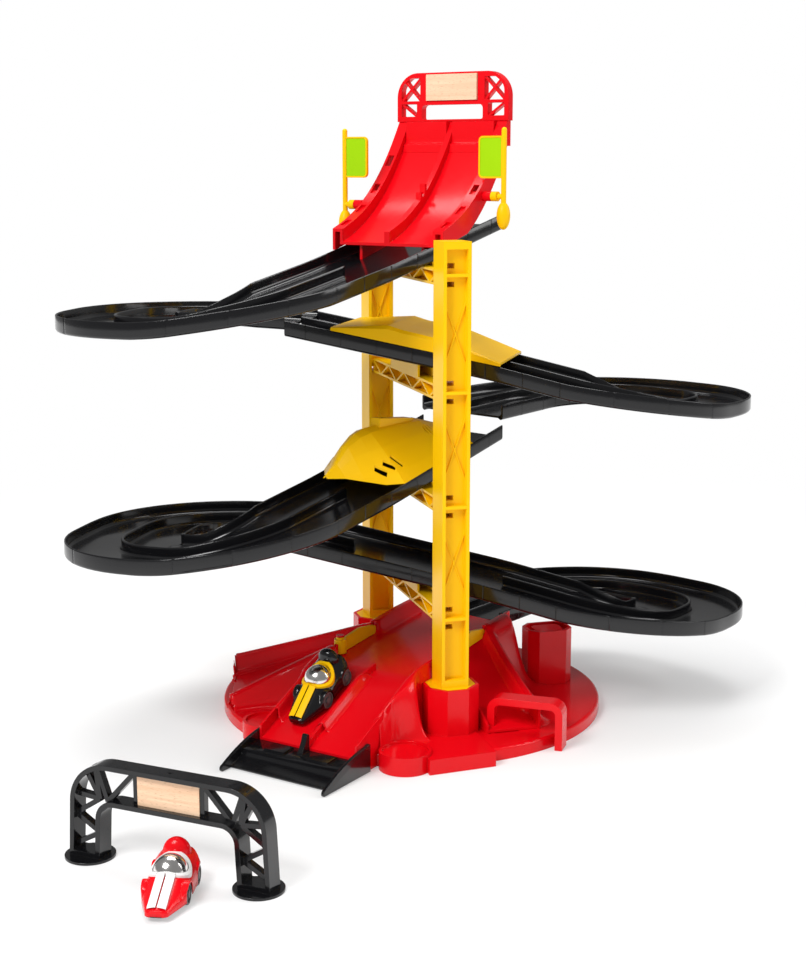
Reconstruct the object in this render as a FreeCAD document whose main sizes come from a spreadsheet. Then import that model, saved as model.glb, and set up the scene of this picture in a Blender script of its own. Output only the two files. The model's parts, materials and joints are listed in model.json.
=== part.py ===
import FreeCAD, Part
import math
import os
import Sketcher
from FreeCAD import Placement, Rotation, Vector

# Toy race tower with a finish arch and two small cars.
# Millimetres. +Z is up, X runs along the two track loops, Y runs through the two
# pillars with the front pillar at -Y. The origin is the centre of the base's underside.

os.makedirs("parts", exist_ok=True)
doc = FreeCAD.newDocument("race_tower")

# Driving dimensions
SIZES = [
    # base disc
    ("base_radius", 188.0), ("base_height", 12.0), ("base_skin", 2.6), ("base_edge_round", 3.0),
    ("base_rib_count", 12), ("base_rib_thick", 1.8), ("base_hub_radius", 14.0), ("pad_radius", 9.0),
    ("pad_ring", 168.0), ("pad_count", 6),
    # pillars
    ("pillar_offset", 125.8), ("pillar_width", 26.0), ("pillar_depth", 30.0), ("pillar_top", 466.0),
    ("recess_width", 19.6), ("recess_depth", 7.0), ("recess_margin", 7.0),
    ("bar_thick", 3.0), ("first_bar_level", 122.5), ("level_pitch", 104.6), ("window_width", 9.0),
    ("window_height", 4.6), ("window_gap", 4.4), ("brace_width", 1.6), ("brace_rise", 1.6),
    ("foot_width", 43.0), ("foot_thick", 4.0), ("foot_plug", 14.0),
    # sockets and screws
    ("socket_top", 57.6), ("socket_wall", 3.0), ("seat_gap", 0.25), ("rest_gap", 0.08),
    ("screw_radius", 2.0),
    ("screw_head_radius", 4.0), ("screw_head_height", 2.6), ("screw_length", 46.0),
    # track mouldings
    ("lane_width", 50.0), ("divider_width", 3.0), ("wall_thick", 2.0), ("wall_rise", 11.5),
    ("post_proud", 0.4),
    ("floor_thick", 2.0), ("skirt", 1.7), ("cross_angle", 31.0),
    ("loop_end", 287.0), ("loop_shift", 27.0), ("loop_tip_radius", 43.0),
    ("near_flare", 36.7), ("near_radius", 100.0), ("far_flare", 60.0), ("far_radius", 97.0),
    ("left_start", 75.0), ("right_start", 112.0), ("loop_slope", 0.224),
    ("left_cross_slope", 0.27), ("right_cross_slope", 0.18), ("return_slope", 0.04),
    ("rim_1", 400.2), ("rim_2", 307.8), ("rim_3", 192.5), ("rim_4", 95.6),
    ("nose_start", 92.0), ("nose_lead", 58.0), ("tab_length", 14.0), ("tab_width", 22.0),
    # brackets
    ("bracket_width", 16.0), ("bracket_below_bar", 11.0), ("bracket_above_bar", 3.5),
    ("bracket_skin", 2.2), ("saddle_half", 46.0), ("bracket_bays", 8),
    # lanes on the base
    ("lane_axis_x", 75.0), ("lane_axis_y", 40.0), ("lane_angle", 41.0), ("lane_start", 12.0),
    ("lane_end", 288.0), ("deck_wall", 2.4), ("gate_start", 98.0), ("gate_end", 166.0),
    ("right_gate_start", 62.0), ("right_gate_end", 128.0), ("ridge_start", 178.0), ("ridge_rise", 6.0),
    ("deck_entry_floor", 76.0), ("entry_slope", 0.05), ("gate_slope", 0.10), ("exit_slope", 0.45),
    ("cup_along", 245.0), ("cup_across", 77.0), ("cup_rim", 3.0), ("cup_depth", 2.4),
    ("deck_height", 14.0),
    # switches
    ("blade_thick", 3.0), ("blade_height", 15.0), ("blade_hub", 6.0), ("pin_radius", 2.5),
    # exit ramp
    ("exit_length", 56.0), ("exit_cheek", 3.0), ("exit_fin", 4.0),
    # start ramp
    ("ramp_angle", 40.0), ("ramp_lane", 48.0), ("ramp_rail", 11.5), ("ramp_divider", 6.0),
    ("ramp_skin", 3.0), ("hood_skin", 2.2), ("ramp_rail_rise", 12.0), ("ramp_side_depth", 24.0),
    ("ramp_back", 78.0), ("ramp_front", 43.0),
    ("ramp_front_level", 472.0), ("ramp_front_slope", 0.36), ("ramp_top_slope", 1.31),
    ("pocket_length", 13.0), ("pocket_depth", 3.0),
    # gantry
    ("gantry_half", 64.0), ("gantry_height", 47.0), ("gantry_depth", 8.0), ("gantry_band", 5.0),
    ("gantry_round", 24.0), ("sign_width", 58.0), ("sign_height", 25.0), ("sign_thick", 4.0),
    ("window_half", 35.0), ("window_rise", 15.0),
    # flags
    ("flag_reach", 21.5), ("flag_top", 564.0), ("plate_below_top", 7.0), ("flag_pole", 5.0),
    ("plate_width", 23.0),
    ("plate_height", 36.0), ("plate_thick", 2.0), ("plate_rim", 1.6), ("egg_radius", 6.5),
    ("egg_drop", 18.0), ("boss_radius", 4.6), ("left_flag_along", 8.0), ("right_flag_along", 29.0),
    ("left_flag_drop", 4.8), ("right_flag_drop", 14.0),
    # pit arch and side post
    ("pit_angle", -35.0), ("pit_x", 32.0), ("pit_y", -139.0), ("pit_width", 72.0),
    ("pit_height", 45.0), ("pit_band", 5.0), ("pit_depth", 18.0), ("pit_round", 12.0),
    ("post_x", 142.0), ("post_y", -8.0), ("post_width", 47.0), ("post_depth", 36.0),
    ("post_top", 68.0), ("post_wall", 3.0), ("post_recess", 12.0),
    # finish arch
    ("arch_x", -293.0), ("arch_y", -341.0), ("arch_angle", -40.7), ("arch_feet", 151.0),
    ("arch_foot_radius", 20.0), ("arch_foot_thick", 2.0), ("arch_height", 80.0),
    ("arch_depth", 16.0), ("arch_band", 4.0), ("arch_web", 3.0), ("arch_brace", 4.0),
    ("arch_bar_height", 33.0), ("arch_leg", 28.0), ("arch_splay", 4.0), ("arch_round", 34.0),
    ("arch_sign_width", 55.0), ("arch_sign_height", 24.0),
    # cars
    ("car_length", 78.0), ("car_width", 37.0), ("wheel_radius", 8.0), ("wheel_width", 6.0),
    ("front_axle", 6.0), ("rear_axle", -27.0), ("wheel_side", 14.0), ("axle_radius", 1.5),
    ("ball_radius", 13.3), ("ball_x", -8.0), ("ball_height", 18.9), ("head_radius", 11.0),
    ("head_x", -27.0), ("head_height", 26.0), ("stripe_width", 6.4), ("stripe_gap", 1.2),
    ("ring_width", 2.6), ("ring_height", 3.4), ("ring_proud", 1.4), ("car_running_gap", 0.4),
    ("car_camber", 21.0), ("cockpit_slope", 0.16), ("bonnet_slope", 0.39), ("bonnet_knee", 6.0),
    ("bonnet_height", 21.8), ("car_floor", 5.6), ("fender_round", 3.0),
    ("black_car_along", 233.0), ("red_car_x", -303.0), ("red_car_y", -388.0),
    ("red_car_angle", -112.0), ("running_fit", 0.06),
]

sheet = doc.addObject("Spreadsheet::Sheet", "sizes")
for row, (alias, value) in enumerate(SIZES, start=1):
    sheet.set("A%d" % row, alias.replace("_", " "))
    sheet.set("B%d" % row, repr(value))
    sheet.setAlias("B%d" % row, alias)
doc.recompute()


def size(alias):
    """Value of one driving dimension."""
    return float(sheet.get(alias))


# Small geometry helpers

def point(x, y, z=0.0):
    return Vector(x, y, z)


def direction(degrees):
    """Unit vector in plan at an angle from +X."""
    a = math.radians(degrees)
    return Vector(math.cos(a), math.sin(a), 0)


def curve(points):
    """Smooth edge through a row of points, or a line between two."""
    if len(points) == 2:
        return Part.makeLine(points[0], points[1])
    line = Part.BSplineCurve()
    line.interpolate(points)
    return line.toShape()


def lofted(rows):
    """Solid with one smooth edge along each row of points and a flat cap at both ends."""
    edges = [curve(row) for row in rows]
    faces = [Part.makeRuledSurface(a, b) for a, b in zip(edges, edges[1:] + edges[:1])]
    for end in (0, -1):
        ring = [row[end] for row in rows]
        faces.append(Part.Face(Part.makePolygon(ring + ring[:1])))
    shell = Part.makeShell(faces)
    shell.sewShape()
    solid = Part.makeSolid(shell)
    if solid.Volume < 0:
        solid.reverse()
    return solid


def plate(points, thickness):
    """Flat polygon extruded along its own thickness vector."""
    return Part.Face(Part.makePolygon(points + points[:1])).extrude(thickness)


def fuse(shapes):
    whole = shapes[0].multiFuse(shapes[1:]) if len(shapes) > 1 else shapes[0]
    return whole.removeSplitter()


def single(shape):
    """The one solid of a finished boolean."""
    return shape.Solids[0] if len(shape.Solids) == 1 else shape


def above_plane(origin, slope, reach=900.0):
    """Half space over the plane through origin with the given plan gradient."""
    normal = Vector(-slope.x, -slope.y, 1)
    cube = Part.makeBox(2 * reach, 2 * reach, reach, Vector(-reach, -reach, 0))
    cube.Placement = Placement(origin, Rotation(Vector(0, 0, 1), normal))
    return cube


def below_plane(origin, slope, reach=900.0):
    normal = Vector(-slope.x, -slope.y, 1)
    cube = Part.makeBox(2 * reach, 2 * reach, reach, Vector(-reach, -reach, -reach))
    cube.Placement = Placement(origin, Rotation(Vector(0, 0, 1), normal))
    return cube


finished = []


def keep(obj, node):
    """Register a finished sub-part under its node name."""
    obj.Label = node
    finished.append((node, obj))
    return obj


def feature(node, shape, placement=None):
    obj = doc.addObject("Part::Feature", node)
    obj.Shape = single(shape)
    if placement is not None:
        obj.Placement = placement
    return keep(obj, node)


def bound(kind, name, **formulas):
    """A document object whose properties follow formulas over the sheet."""
    obj = doc.addObject(kind, name)
    for prop, formula in formulas.items():
        obj.setExpression(prop.replace("__", "."), formula)
    return obj


def joined(node, shapes):
    obj = doc.addObject("Part::MultiFuse", node)
    obj.Shapes = shapes
    return obj


# Flat profiles, drawn in the XZ plane and extruded along Y

def rounded(corners):
    """Closed wire through (x, z, radius) corners, each rounded by its own radius."""
    edges, starts, ends = [], [], []
    count = len(corners)
    for i in range(count):
        before, here, after = (point(c[0], 0, c[1]) for c in
                               (corners[i - 1], corners[i], corners[(i + 1) % count]))
        radius = corners[i][2]
        into, out = (before - here).normalize(), (after - here).normalize()
        if radius <= 0:
            starts.append(here)
            ends.append(here)
            continue
        half = into.getAngle(out) / 2
        reach = radius / math.tan(half)
        bisector = (into + out).normalize()
        middle = here + bisector * (radius / math.sin(half) - radius)
        starts.append(here + into * reach)
        ends.append(here + out * reach)
        edges.append((i, Part.Arc(starts[i], middle, ends[i]).toShape()))
    arcs = dict(edges)
    wire = []
    for i in range(count):
        if i in arcs:
            wire.append(arcs[i])
        following = starts[(i + 1) % count]
        if ends[i].distanceToPoint(following) > 1e-6:
            wire.append(Part.makeLine(ends[i], following))
    return Part.Wire(Part.__sortEdges__(wire))


def slab(outline, depth, front=None, holes=()):
    """Extruded profile, centred on Y or starting at its front face."""
    start = -depth / 2 if front is None else front
    wires = [rounded(outline)] + [rounded(h) for h in holes]
    face = Part.makeFace(wires, "Part::FaceMakerBullseye")
    solid = face.extrude(Vector(0, depth, 0))
    solid.translate(Vector(0, start, 0))
    return solid


def mirrored(corners):
    return [(-c[0],) + tuple(c[1:]) for c in reversed(corners)]


def rib(a, b, width, depth, front=None):
    """Straight rib between two points of the XZ plane."""
    start, end = point(a[0], 0, a[1]), point(b[0], 0, b[1])
    along = (end - start).normalize()
    side = Vector(-along.z, 0, along.x) * (width / 2)
    corners = [start + side, end + side, end - side, start - side]
    return slab([(c.x, c.z, 0) for c in corners], depth, front)


def turned(shape, origin, degrees):
    """The shape set down at an origin and turned about the vertical."""
    copy = shape.copy()
    copy.Placement = Placement(origin, Rotation(Vector(0, 0, 1), degrees)).multiply(copy.Placement)
    return copy


# PartDesign helpers

def origin_plane(body, role):
    return next(f for f in body.Origin.OriginFeatures if f.Role == role)


def polygon_sketch(body, name, role, corners, height=None):
    """Closed polygon whose corners follow formulas, on an origin plane of its body."""
    sketch = body.newObject("Sketcher::SketchObject", name)
    sketch.AttachmentSupport = [(origin_plane(body, role), "")]
    sketch.MapMode = "FlatFace"
    if height:
        sketch.setExpression("AttachmentOffset.Base.z", height)
    first = [(sheet_value(x), sheet_value(y)) for x, y in corners]
    count = len(corners)
    for i in range(count):
        a, b = first[i], first[(i + 1) % count]
        sketch.addGeometry(Part.LineSegment(Vector(a[0], a[1], 0), Vector(b[0], b[1], 0)), False)
    for i in range(count):
        sketch.addConstraint(Sketcher.Constraint("Coincident", i, 2, (i + 1) % count, 1))
    for i, (x, y) in enumerate(corners):
        for kind, formula, value in (("DistanceX", x, first[i][0]), ("DistanceY", y, first[i][1])):
            index = sketch.addConstraint(Sketcher.Constraint(kind, -1, 1, i, 1, value))
            sketch.renameConstraint(index, "%s%d" % (kind[-1].lower(), i))
            sketch.setExpression("Constraints.%s%d" % (kind[-1].lower(), i), formula)
    return sketch


def sheet_value(formula):
    """Number for a formula over the sheet, to draw a sketch before it is solved."""
    probe = doc.getObject("probe") or doc.addObject("App::FeaturePython", "probe")
    if "value" not in probe.PropertiesList:
        probe.addProperty("App::PropertyFloat", "value")
    probe.setExpression("value", formula)
    probe.recompute()
    return float(probe.value)


def pad(body, name, sketch, length, middle=False, back=False):
    solid = body.newObject("PartDesign::Pad", name)
    solid.Profile = sketch
    solid.setExpression("Length", length)
    solid.Midplane = middle
    solid.Reversed = back
    sketch.Visibility = False
    return solid


def pocket(body, name, sketch, length, middle=False, back=False, through=False):
    cut = body.newObject("PartDesign::Pocket", name)
    cut.Profile = sketch
    if through:
        cut.Type = 1
    else:
        cut.setExpression("Length", length)
    cut.Midplane = middle
    cut.Reversed = back
    return cut


# Shared sizes worked out from the driving dimensions

HALF_TRACK = size("lane_width") + size("divider_width") / 2 + size("wall_thick")
SIDE_HEIGHT = size("wall_rise") + size("floor_thick") + size("skirt")
CROSS = math.radians(size("cross_angle"))
RIMS = [size("rim_%d" % level) for level in (1, 2, 3, 4)]


# Track mouldings: two lanes swept round one loop of the figure of eight

def walk(side, legs):
    """Plan samples from the loop's end outwards: side -1 is the near run, +1 the far run."""
    x, y, turn, travelled = -size("loop_end"), -size("loop_shift"), 0.0, 0.0
    samples = [(x, y, turn, travelled)]
    for length, sweep in legs:
        count = max(1, round(length / 13.0), round(math.degrees(abs(sweep)) / 7.0))
        for _ in range(count):
            middle = turn + sweep / count / 2
            chord = length / count
            if sweep:
                half = sweep / count / 2
                chord *= math.sin(half) / half
            x += math.sin(middle) * chord
            y += side * math.cos(middle) * chord
            turn += sweep / count
            travelled += length / count
            samples.append((x, y, turn, travelled))
    return samples


def run(side, flare, radius, join):
    """One half of a loop, with the straight leg solved so that it passes the tower axis."""
    tip = size("loop_tip_radius")
    first = math.pi / 2 - flare
    bend = flare + CROSS
    probe = walk(side, [(tip * first, first), (radius * bend, bend)])
    x, y, turn, _ = probe[-1]
    offset = x * math.cos(turn) - side * y * math.sin(turn)
    straight = offset / math.sin(bend)
    x0, y0, _, _ = walk(side, [(tip * first, first), (straight, 0), (radius * bend, bend)])[-1]
    return walk(side, [(tip * first, first), (straight, 0), (radius * bend, bend),
                       (math.hypot(x0, y0) + join, 0)])


def ramp_up(distance, start, end):
    """Height of a slope that grows from nothing to one between two distances."""
    if distance <= start:
        return 0.0
    if distance >= end:
        return distance - (start + end) / 2
    return (distance - start) ** 2 / (2 * (end - start))


def rim_height(side, travelled, left):
    """Rim above the loop's own level at a distance from the loop's end."""
    if side > 0:
        return -size("return_slope") * ramp_up(travelled, 45, 75)
    cross = size("left_cross_slope") if left else size("right_cross_slope")
    rise = size("loop_slope") * ramp_up(travelled, 52, 85)
    return rise + (cross - size("loop_slope")) * ramp_up(travelled, 245, 275)


def edge_row(samples, side, offset, drop, left):
    """Points beside the centre line, offset outwards and dropped below the rim."""
    row = []
    for x, y, turn, travelled in samples:
        px = x - math.cos(turn) * offset
        py = y + side * math.sin(turn) * offset
        z = rim_height(side, travelled, left) - drop
        row.append(Vector(px if left else -px, py, z))
    return row


def near_run(left):
    start = size("left_start") if left else size("right_start")
    return run(-1, math.radians(size("near_flare")), size("near_radius"), start)


def far_run(left):
    end = size("right_start") if left else size("left_start")
    legs = run(1, math.radians(size("far_flare")), size("far_radius"), 0)
    total = legs[-1][3]
    return [s for s in legs if s[3] < total - end - 4] + [cut_at(legs, total - end)]


def cut_at(samples, distance):
    """Sample at a distance along a straight stretch."""
    for a, b in zip(samples, samples[1:]):
        if a[3] <= distance <= b[3]:
            f = (distance - a[3]) / (b[3] - a[3])
            return tuple(a[i] + f * (b[i] - a[i]) for i in range(4))
    return samples[-1]


def from_distance(samples, start, end=1e9):
    """The samples between two distances, with exact ends."""
    last = samples[-1][3]
    inside = [s for s in samples if start + 3 < s[3] < min(end, last) - 3]
    return [cut_at(samples, start)] + inside + [cut_at(samples, min(end, last))]


def fin_tip():
    """Where the inner walls of both runs meet, as a distance past each tip arc."""
    reach = HALF_TRACK - size("loop_tip_radius")
    a = math.pi / 2 - math.radians(size("near_flare"))
    b = math.pi / 2 - math.radians(size("far_flare"))
    rows = ((math.cos(a), math.sin(a)), (math.cos(b), -math.sin(b)))
    det = rows[0][0] * rows[1][1] - rows[0][1] * rows[1][0]
    x = reach * (rows[1][1] - rows[0][1]) / det
    y = reach * (rows[0][0] - rows[1][0]) / det
    near = x * math.sin(a) - y * math.cos(a)
    far = x * math.sin(b) + y * math.cos(b)
    tip = size("loop_tip_radius")
    return tip * a, tip * b, tip * a + near, tip * b + far


def swept(samples, side, section, left):
    """Solid whose cross-section, given as (offset, drop) corners, follows the samples."""
    return lofted([edge_row(samples, side, offset, drop, left) for offset, drop in section])


def section_corners(with_divider, inner_edge=None):
    """Cross-section of the moulding; an inner edge replaces the inner wall in the turn."""
    out, inn = HALF_TRACK, HALF_TRACK - size("wall_thick")
    rise, under = size("wall_rise"), size("wall_rise") + size("floor_thick")
    half, top = size("divider_width") / 2, 0.6
    corners = [(inn, rise), (inn, 0), (out, 0), (out, SIDE_HEIGHT), (inn, SIDE_HEIGHT), (inn, under)]
    if inner_edge is None:
        corners += [(-inn, under), (-inn, SIDE_HEIGHT), (-out, SIDE_HEIGHT), (-out, 0), (-inn, 0),
                    (-inn, rise)]
    else:
        corners += [(-inner_edge, under), (-inner_edge, rise)]
    if with_divider:
        corners += [(-half, rise), (-half, top), (half, top), (half, rise)]
    return corners


def track_shape(left):
    """One moulding with its rim at loop level zero: floors, walls, divider, joint tab."""
    near, far = near_run(left), far_run(left)
    near_arc, far_arc, near_tip, far_tip = fin_tip()
    start = size("left_start") if left else size("right_start")
    crossing = near[-1][3] - start
    nose = crossing - size("nose_start")
    lead = crossing + size("nose_lead")
    full, open_lane = section_corners(True), section_corners(False)
    turn = section_corners(True, size("loop_tip_radius"))
    pieces = [(near, -1, lead, near[-1][3], full), (near, -1, nose, lead, open_lane),
              (near, -1, near_tip, nose, full), (near, -1, near_arc, near_tip, turn),
              (far, 1, far_arc, far_tip, turn), (far, 1, far_tip, far[-1][3], full)]
    shapes = [swept(from_distance(run_samples, a, b), side, section, left)
              for run_samples, side, a, b, section in pieces]
    shapes.append(turn_solid(near, far, near_arc, far_arc, turn, left))
    shapes.append(fin_floor(near, far, near_arc, near_tip, far_tip, left))
    for distance in (nose, lead):
        shapes.append(nose_post(near, distance, left))
    shapes.append(fin_post(near, near_tip, left))
    shapes.append(joint_tab(near[-1], left))
    return fuse(shapes)


def turn_solid(near, far, near_arc, far_arc, section, left):
    """The level turn round the loop's end, revolved about its own centre."""
    sample = cut_at(near, near_arc)
    ring = [edge_row([sample], -1, offset, drop, left)[0] for offset, drop in section]
    centre = edge_row([sample], -1, -size("loop_tip_radius"), 0, left)[0]
    face = Part.Face(Part.makePolygon(ring + ring[:1]))
    sweep = math.degrees((near_arc + far_arc) / size("loop_tip_radius"))
    return face.revolve(centre, Vector(0, 0, -1 if left else 1), sweep)


def fin_floor(near, far, near_arc, near_tip, far_tip, left):
    """Small flat floor between the turn's centre and the fin where the inner walls meet."""
    rise, tip = size("wall_rise"), size("loop_tip_radius")
    corners = [edge_row([cut_at(near, near_arc)], -1, -tip, rise, left)[0],
               edge_row([cut_at(near, near_tip)], -1, -tip, rise, left)[0],
               edge_row([cut_at(near, near_tip)], -1, -HALF_TRACK, rise, left)[0],
               edge_row([cut_at(far, far_tip)], 1, -tip, rise, left)[0]]
    return plate(corners, Vector(0, 0, -size("floor_thick")))


def fin_post(near, near_tip, left):
    """Rounded end where the inner walls of both runs meet."""
    proud = size("post_proud")
    foot = edge_row([cut_at(near, near_tip)], -1, -HALF_TRACK, SIDE_HEIGHT + proud, left)[0]
    return Part.makeCylinder(1.3 * size("wall_thick"), SIDE_HEIGHT + 2 * proud, foot)


def nose_post(near, distance, left):
    """Round end of the divider, standing in the floor."""
    foot = size("wall_rise") + size("floor_thick") / 2
    centre = edge_row([cut_at(near, distance)], -1, 0, foot, left)[0]
    return Part.makeCylinder(size("divider_width") / 2, foot - 0.8, centre)


def joint_tab(last, left):
    """Tongue under the upper end that the moulding above rests on."""
    half, under = size("tab_width") / 2, size("wall_rise") + size("floor_thick")
    ahead = step_back(last, size("tab_length"))
    behind = step_back(last, -6.0)
    corners = [edge_row([s], -1, o, under, left)[0]
               for s, o in ((behind, half), (ahead, half), (ahead, -half), (behind, -half))]
    top = min(p.z for p in corners)
    flat = [Vector(p.x, p.y, top - 2.0) for p in corners]
    root = edge_row([behind], -1, 0, under, left)[0].z - top
    return plate(flat, Vector(0, 0, 2.0 + root + 0.3))


def step_back(sample, distance):
    """Sample further out along the straight upper end."""
    x, y, turn, travelled = sample
    return (x + math.sin(turn) * distance, y - math.cos(turn) * distance, turn,
            travelled + distance)


def build_tracks():
    shapes = {True: track_shape(True), False: track_shape(False)}
    for level, rim in enumerate(RIMS, start=1):
        feature("track_%d" % level, shapes[level % 2 == 1], Placement(Vector(0, 0, rim), Rotation()))


def crossing_plane(level, drop):
    """Point on the tower axis and plan gradient of a level's crossing, dropped below its rim."""
    left = level % 2 == 1
    near = near_run(left)
    start = size("left_start") if left else size("right_start")
    height = RIMS[level - 1] + rim_height(-1, near[-1][3] - start, left) - drop
    slope = size("left_cross_slope") if left else size("right_cross_slope")
    across = math.cos(CROSS) if left else -math.cos(CROSS)
    return Vector(0, 0, height), Vector(slope * across, slope * math.sin(CROSS), 0)


# Pillars: recessed and cross-braced on the face that looks forward

def rectangle(left, right, low, high):
    return [(left, low), (right, low), (right, high), (left, high)]


def octagon(width):
    half, cut = "sizes.%s / 2" % width, "sizes.%s * 0.2929" % width
    near, far = "(%s - %s)" % (half, cut), "(%s)" % half
    signs = [(far, "-" + near), (far, near), (near, far), ("-" + near, far),
             ("-" + far, near), ("-" + far, "-" + near), ("-" + near, "-" + far), (near, "-" + far)]
    return signs


def pattern_up(body, name, originals, count, pitch):
    rows = body.newObject("PartDesign::LinearPattern", name)
    rows.Originals = originals
    rows.Direction = (origin_plane(body, "Z_Axis"), [""])
    rows.setExpression("Length", "(%d) * %s" % (count - 1, pitch))
    rows.Occurrences = count
    body.Tip = rows
    return rows


def build_pillar(node, side):
    body = doc.addObject("PartDesign::Body", node)
    foot = "sizes.socket_top - sizes.foot_plug"
    half_w, half_d = "sizes.pillar_width / 2", "sizes.pillar_depth / 2"
    outline = rectangle("-" + half_w, half_w, "-" + half_d, half_d)
    shaft = polygon_sketch(body, node + "_shaft", "XY_Plane", outline, foot)
    pad(body, node + "_column", shaft, "sizes.pillar_top - sizes.socket_top + sizes.foot_plug")
    flange = polygon_sketch(body, node + "_flange", "XY_Plane", octagon("foot_width"),
                            "sizes.socket_top - sizes.foot_thick")
    pad(body, node + "_foot", flange, "sizes.foot_thick")
    half_r = "sizes.recess_width / 2"
    depth_plane = "sizes.pillar_depth / 2 - sizes.recess_depth"
    recess = polygon_sketch(body, node + "_recess", "XZ_Plane", rectangle(
        "-" + half_r, half_r, "sizes.socket_top + sizes.recess_margin",
        "sizes.pillar_top - sizes.recess_margin"), depth_plane)
    pocket(body, node + "_hollow", recess, "sizes.recess_depth", back=True)
    level, thick = "sizes.first_bar_level", "sizes.bar_thick"
    bar = polygon_sketch(body, node + "_bar", "XZ_Plane", rectangle(
        "-" + half_r, half_r, "%s - %s / 2" % (level, thick), "%s + %s / 2" % (level, thick)),
        depth_plane)
    bars = pad(body, node + "_bar_pad", bar, "sizes.recess_depth")
    pattern_up(body, node + "_bars", [bars], 4, "sizes.level_pitch")
    for name, sign in (("upper", "+"), ("lower", "-")):
        inner = "%s %s (%s / 2 + sizes.window_gap)" % (level, sign, thick)
        outer = "%s %s (%s / 2 + sizes.window_gap + sizes.window_height)" % (level, sign, thick)
        low, high = (inner, outer) if sign == "+" else (outer, inner)
        window = polygon_sketch(body, node + "_window_" + name, "XZ_Plane", rectangle(
            "-" + half_r, "-%s + sizes.window_width" % half_r, low, high))
        cut = pocket(body, node + "_slot_" + name, window, "sizes.pillar_depth", middle=True)
        pattern_up(body, node + "_slots_" + name, [cut], 4, "sizes.level_pitch")
    brace_panels(body, node, half_r, depth_plane)
    hole = body.newObject("PartDesign::SubtractiveCylinder", node + "_screw_hole")
    hole.setExpression("Radius", "sizes.screw_radius")
    hole.setExpression("Height", "sizes.screw_length")
    hole.AttachmentSupport = [(origin_plane(body, "XY_Plane"), "")]
    hole.MapMode = "FlatFace"
    hole.setExpression("AttachmentOffset.Base.z", foot + " - sizes.socket_wall - 1")
    body.setExpression("Placement.Base.y", "%s * sizes.pillar_offset" % side)
    return keep(body, node)


def brace_panels(body, node, half_r, depth_plane):
    """One crossed pair of slim ribs in each panel between the bars."""
    mid = "(sizes.first_bar_level + sizes.level_pitch / 2)"
    reach, wide = "(sizes.level_pitch * 0.26)", "sizes.brace_width"
    ribs = []
    for name, sign in (("rising", ""), ("falling", "-")):
        x0, x1 = ("-" + half_r, half_r) if not sign else (half_r, "-" + half_r)
        corners = [(x0, "%s - %s - %s" % (mid, reach, wide)), (x1, "%s + %s - %s" % (mid, reach, wide)),
                   (x1, "%s + %s + %s" % (mid, reach, wide)), (x0, "%s - %s + %s" % (mid, reach, wide))]
        sketch = polygon_sketch(body, "%s_brace_%s" % (node, name), "XZ_Plane", corners, depth_plane)
        ribs.append(pad(body, "%s_rib_%s" % (node, name), sketch, "sizes.brace_rise"))
    pattern_up(body, node + "_ribs", ribs, 3, "sizes.level_pitch")


# Brackets between the pillars: trussed beams with a saddle under each crossing

def bracket_shape(level):
    bar = size("first_bar_level") + (4 - level) * size("level_pitch")
    low, high = bar - size("bracket_below_bar"), bar + size("bracket_above_bar")
    reach = size("pillar_offset") - size("pillar_depth") / 2
    wide, skin = size("bracket_width"), size("bracket_skin")
    shapes = [
        Part.makeBox(wide, 2 * reach, skin, point(-wide / 2, -reach, low)),
        Part.makeBox(wide, 2 * reach, skin, point(-wide / 2, -reach, high - skin)),
        Part.makeBox(skin, 2 * reach, high - low, point(-skin / 2, -reach, low)),
    ]
    for side in (-1, 1):
        corner = point(-wide / 2, side * (reach - skin / 2) - skin / 2, low)
        shapes.append(Part.makeBox(wide, skin, high - low, corner))
    bays = int(size("bracket_bays"))
    pitch = 2 * reach / bays
    for bay in range(bays):
        y0 = -reach + bay * pitch
        a, b = (low, high - skin) if bay % 2 else (high - skin, low)
        shapes.append(plate([point(-wide / 2, y0, a), point(-wide / 2, y0 + pitch, b),
                             point(-wide / 2, y0 + pitch, b + skin), point(-wide / 2, y0, a + skin)],
                            Vector(wide, 0, 0)))
    half = size("saddle_half")
    under = size("wall_rise") + size("floor_thick") + size("rest_gap")
    origin, slope = crossing_plane(level, under)
    top = origin.z + half
    for x in (-wide / 2, wide / 2 - skin):
        cheek = Part.makeBox(skin, 2 * half, top - high + skin, point(x, -half, high - skin))
        shapes.append(cheek.cut(above_plane(origin, slope)))
    return fuse(shapes)


def build_brackets():
    for level in (1, 2, 3, 4):
        feature("bracket_%d" % level, bracket_shape(level))


# Base: disc, lanes with gates, side channels, sockets and cups

DECK_HALF = HALF_TRACK + size("deck_wall") - size("wall_thick")
LANE_HEAD = -direction(size("lane_angle"))
LANE_SIDE = Vector(-LANE_HEAD.y, LANE_HEAD.x, 0)


def lane_point(along, across, z=0.0):
    """Point on the base from its distance down the lanes and to their right."""
    start = point(size("lane_axis_x"), size("lane_axis_y"), z)
    return start + LANE_HEAD * along + LANE_SIDE * across


def deck_floor(along):
    """Height of the lane floor, level at the gates and steeper towards the exit."""
    gate_in, steep = size("gate_slope") - size("entry_slope"), size("exit_slope") - size("gate_slope")
    fall = size("entry_slope") * (along - size("lane_start"))
    fall += gate_in * ramp_up(along, 44, 56)
    fall += steep * ramp_up(along, size("gate_end") + 6, size("gate_end") + 46)
    return size("deck_entry_floor") - fall


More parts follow.
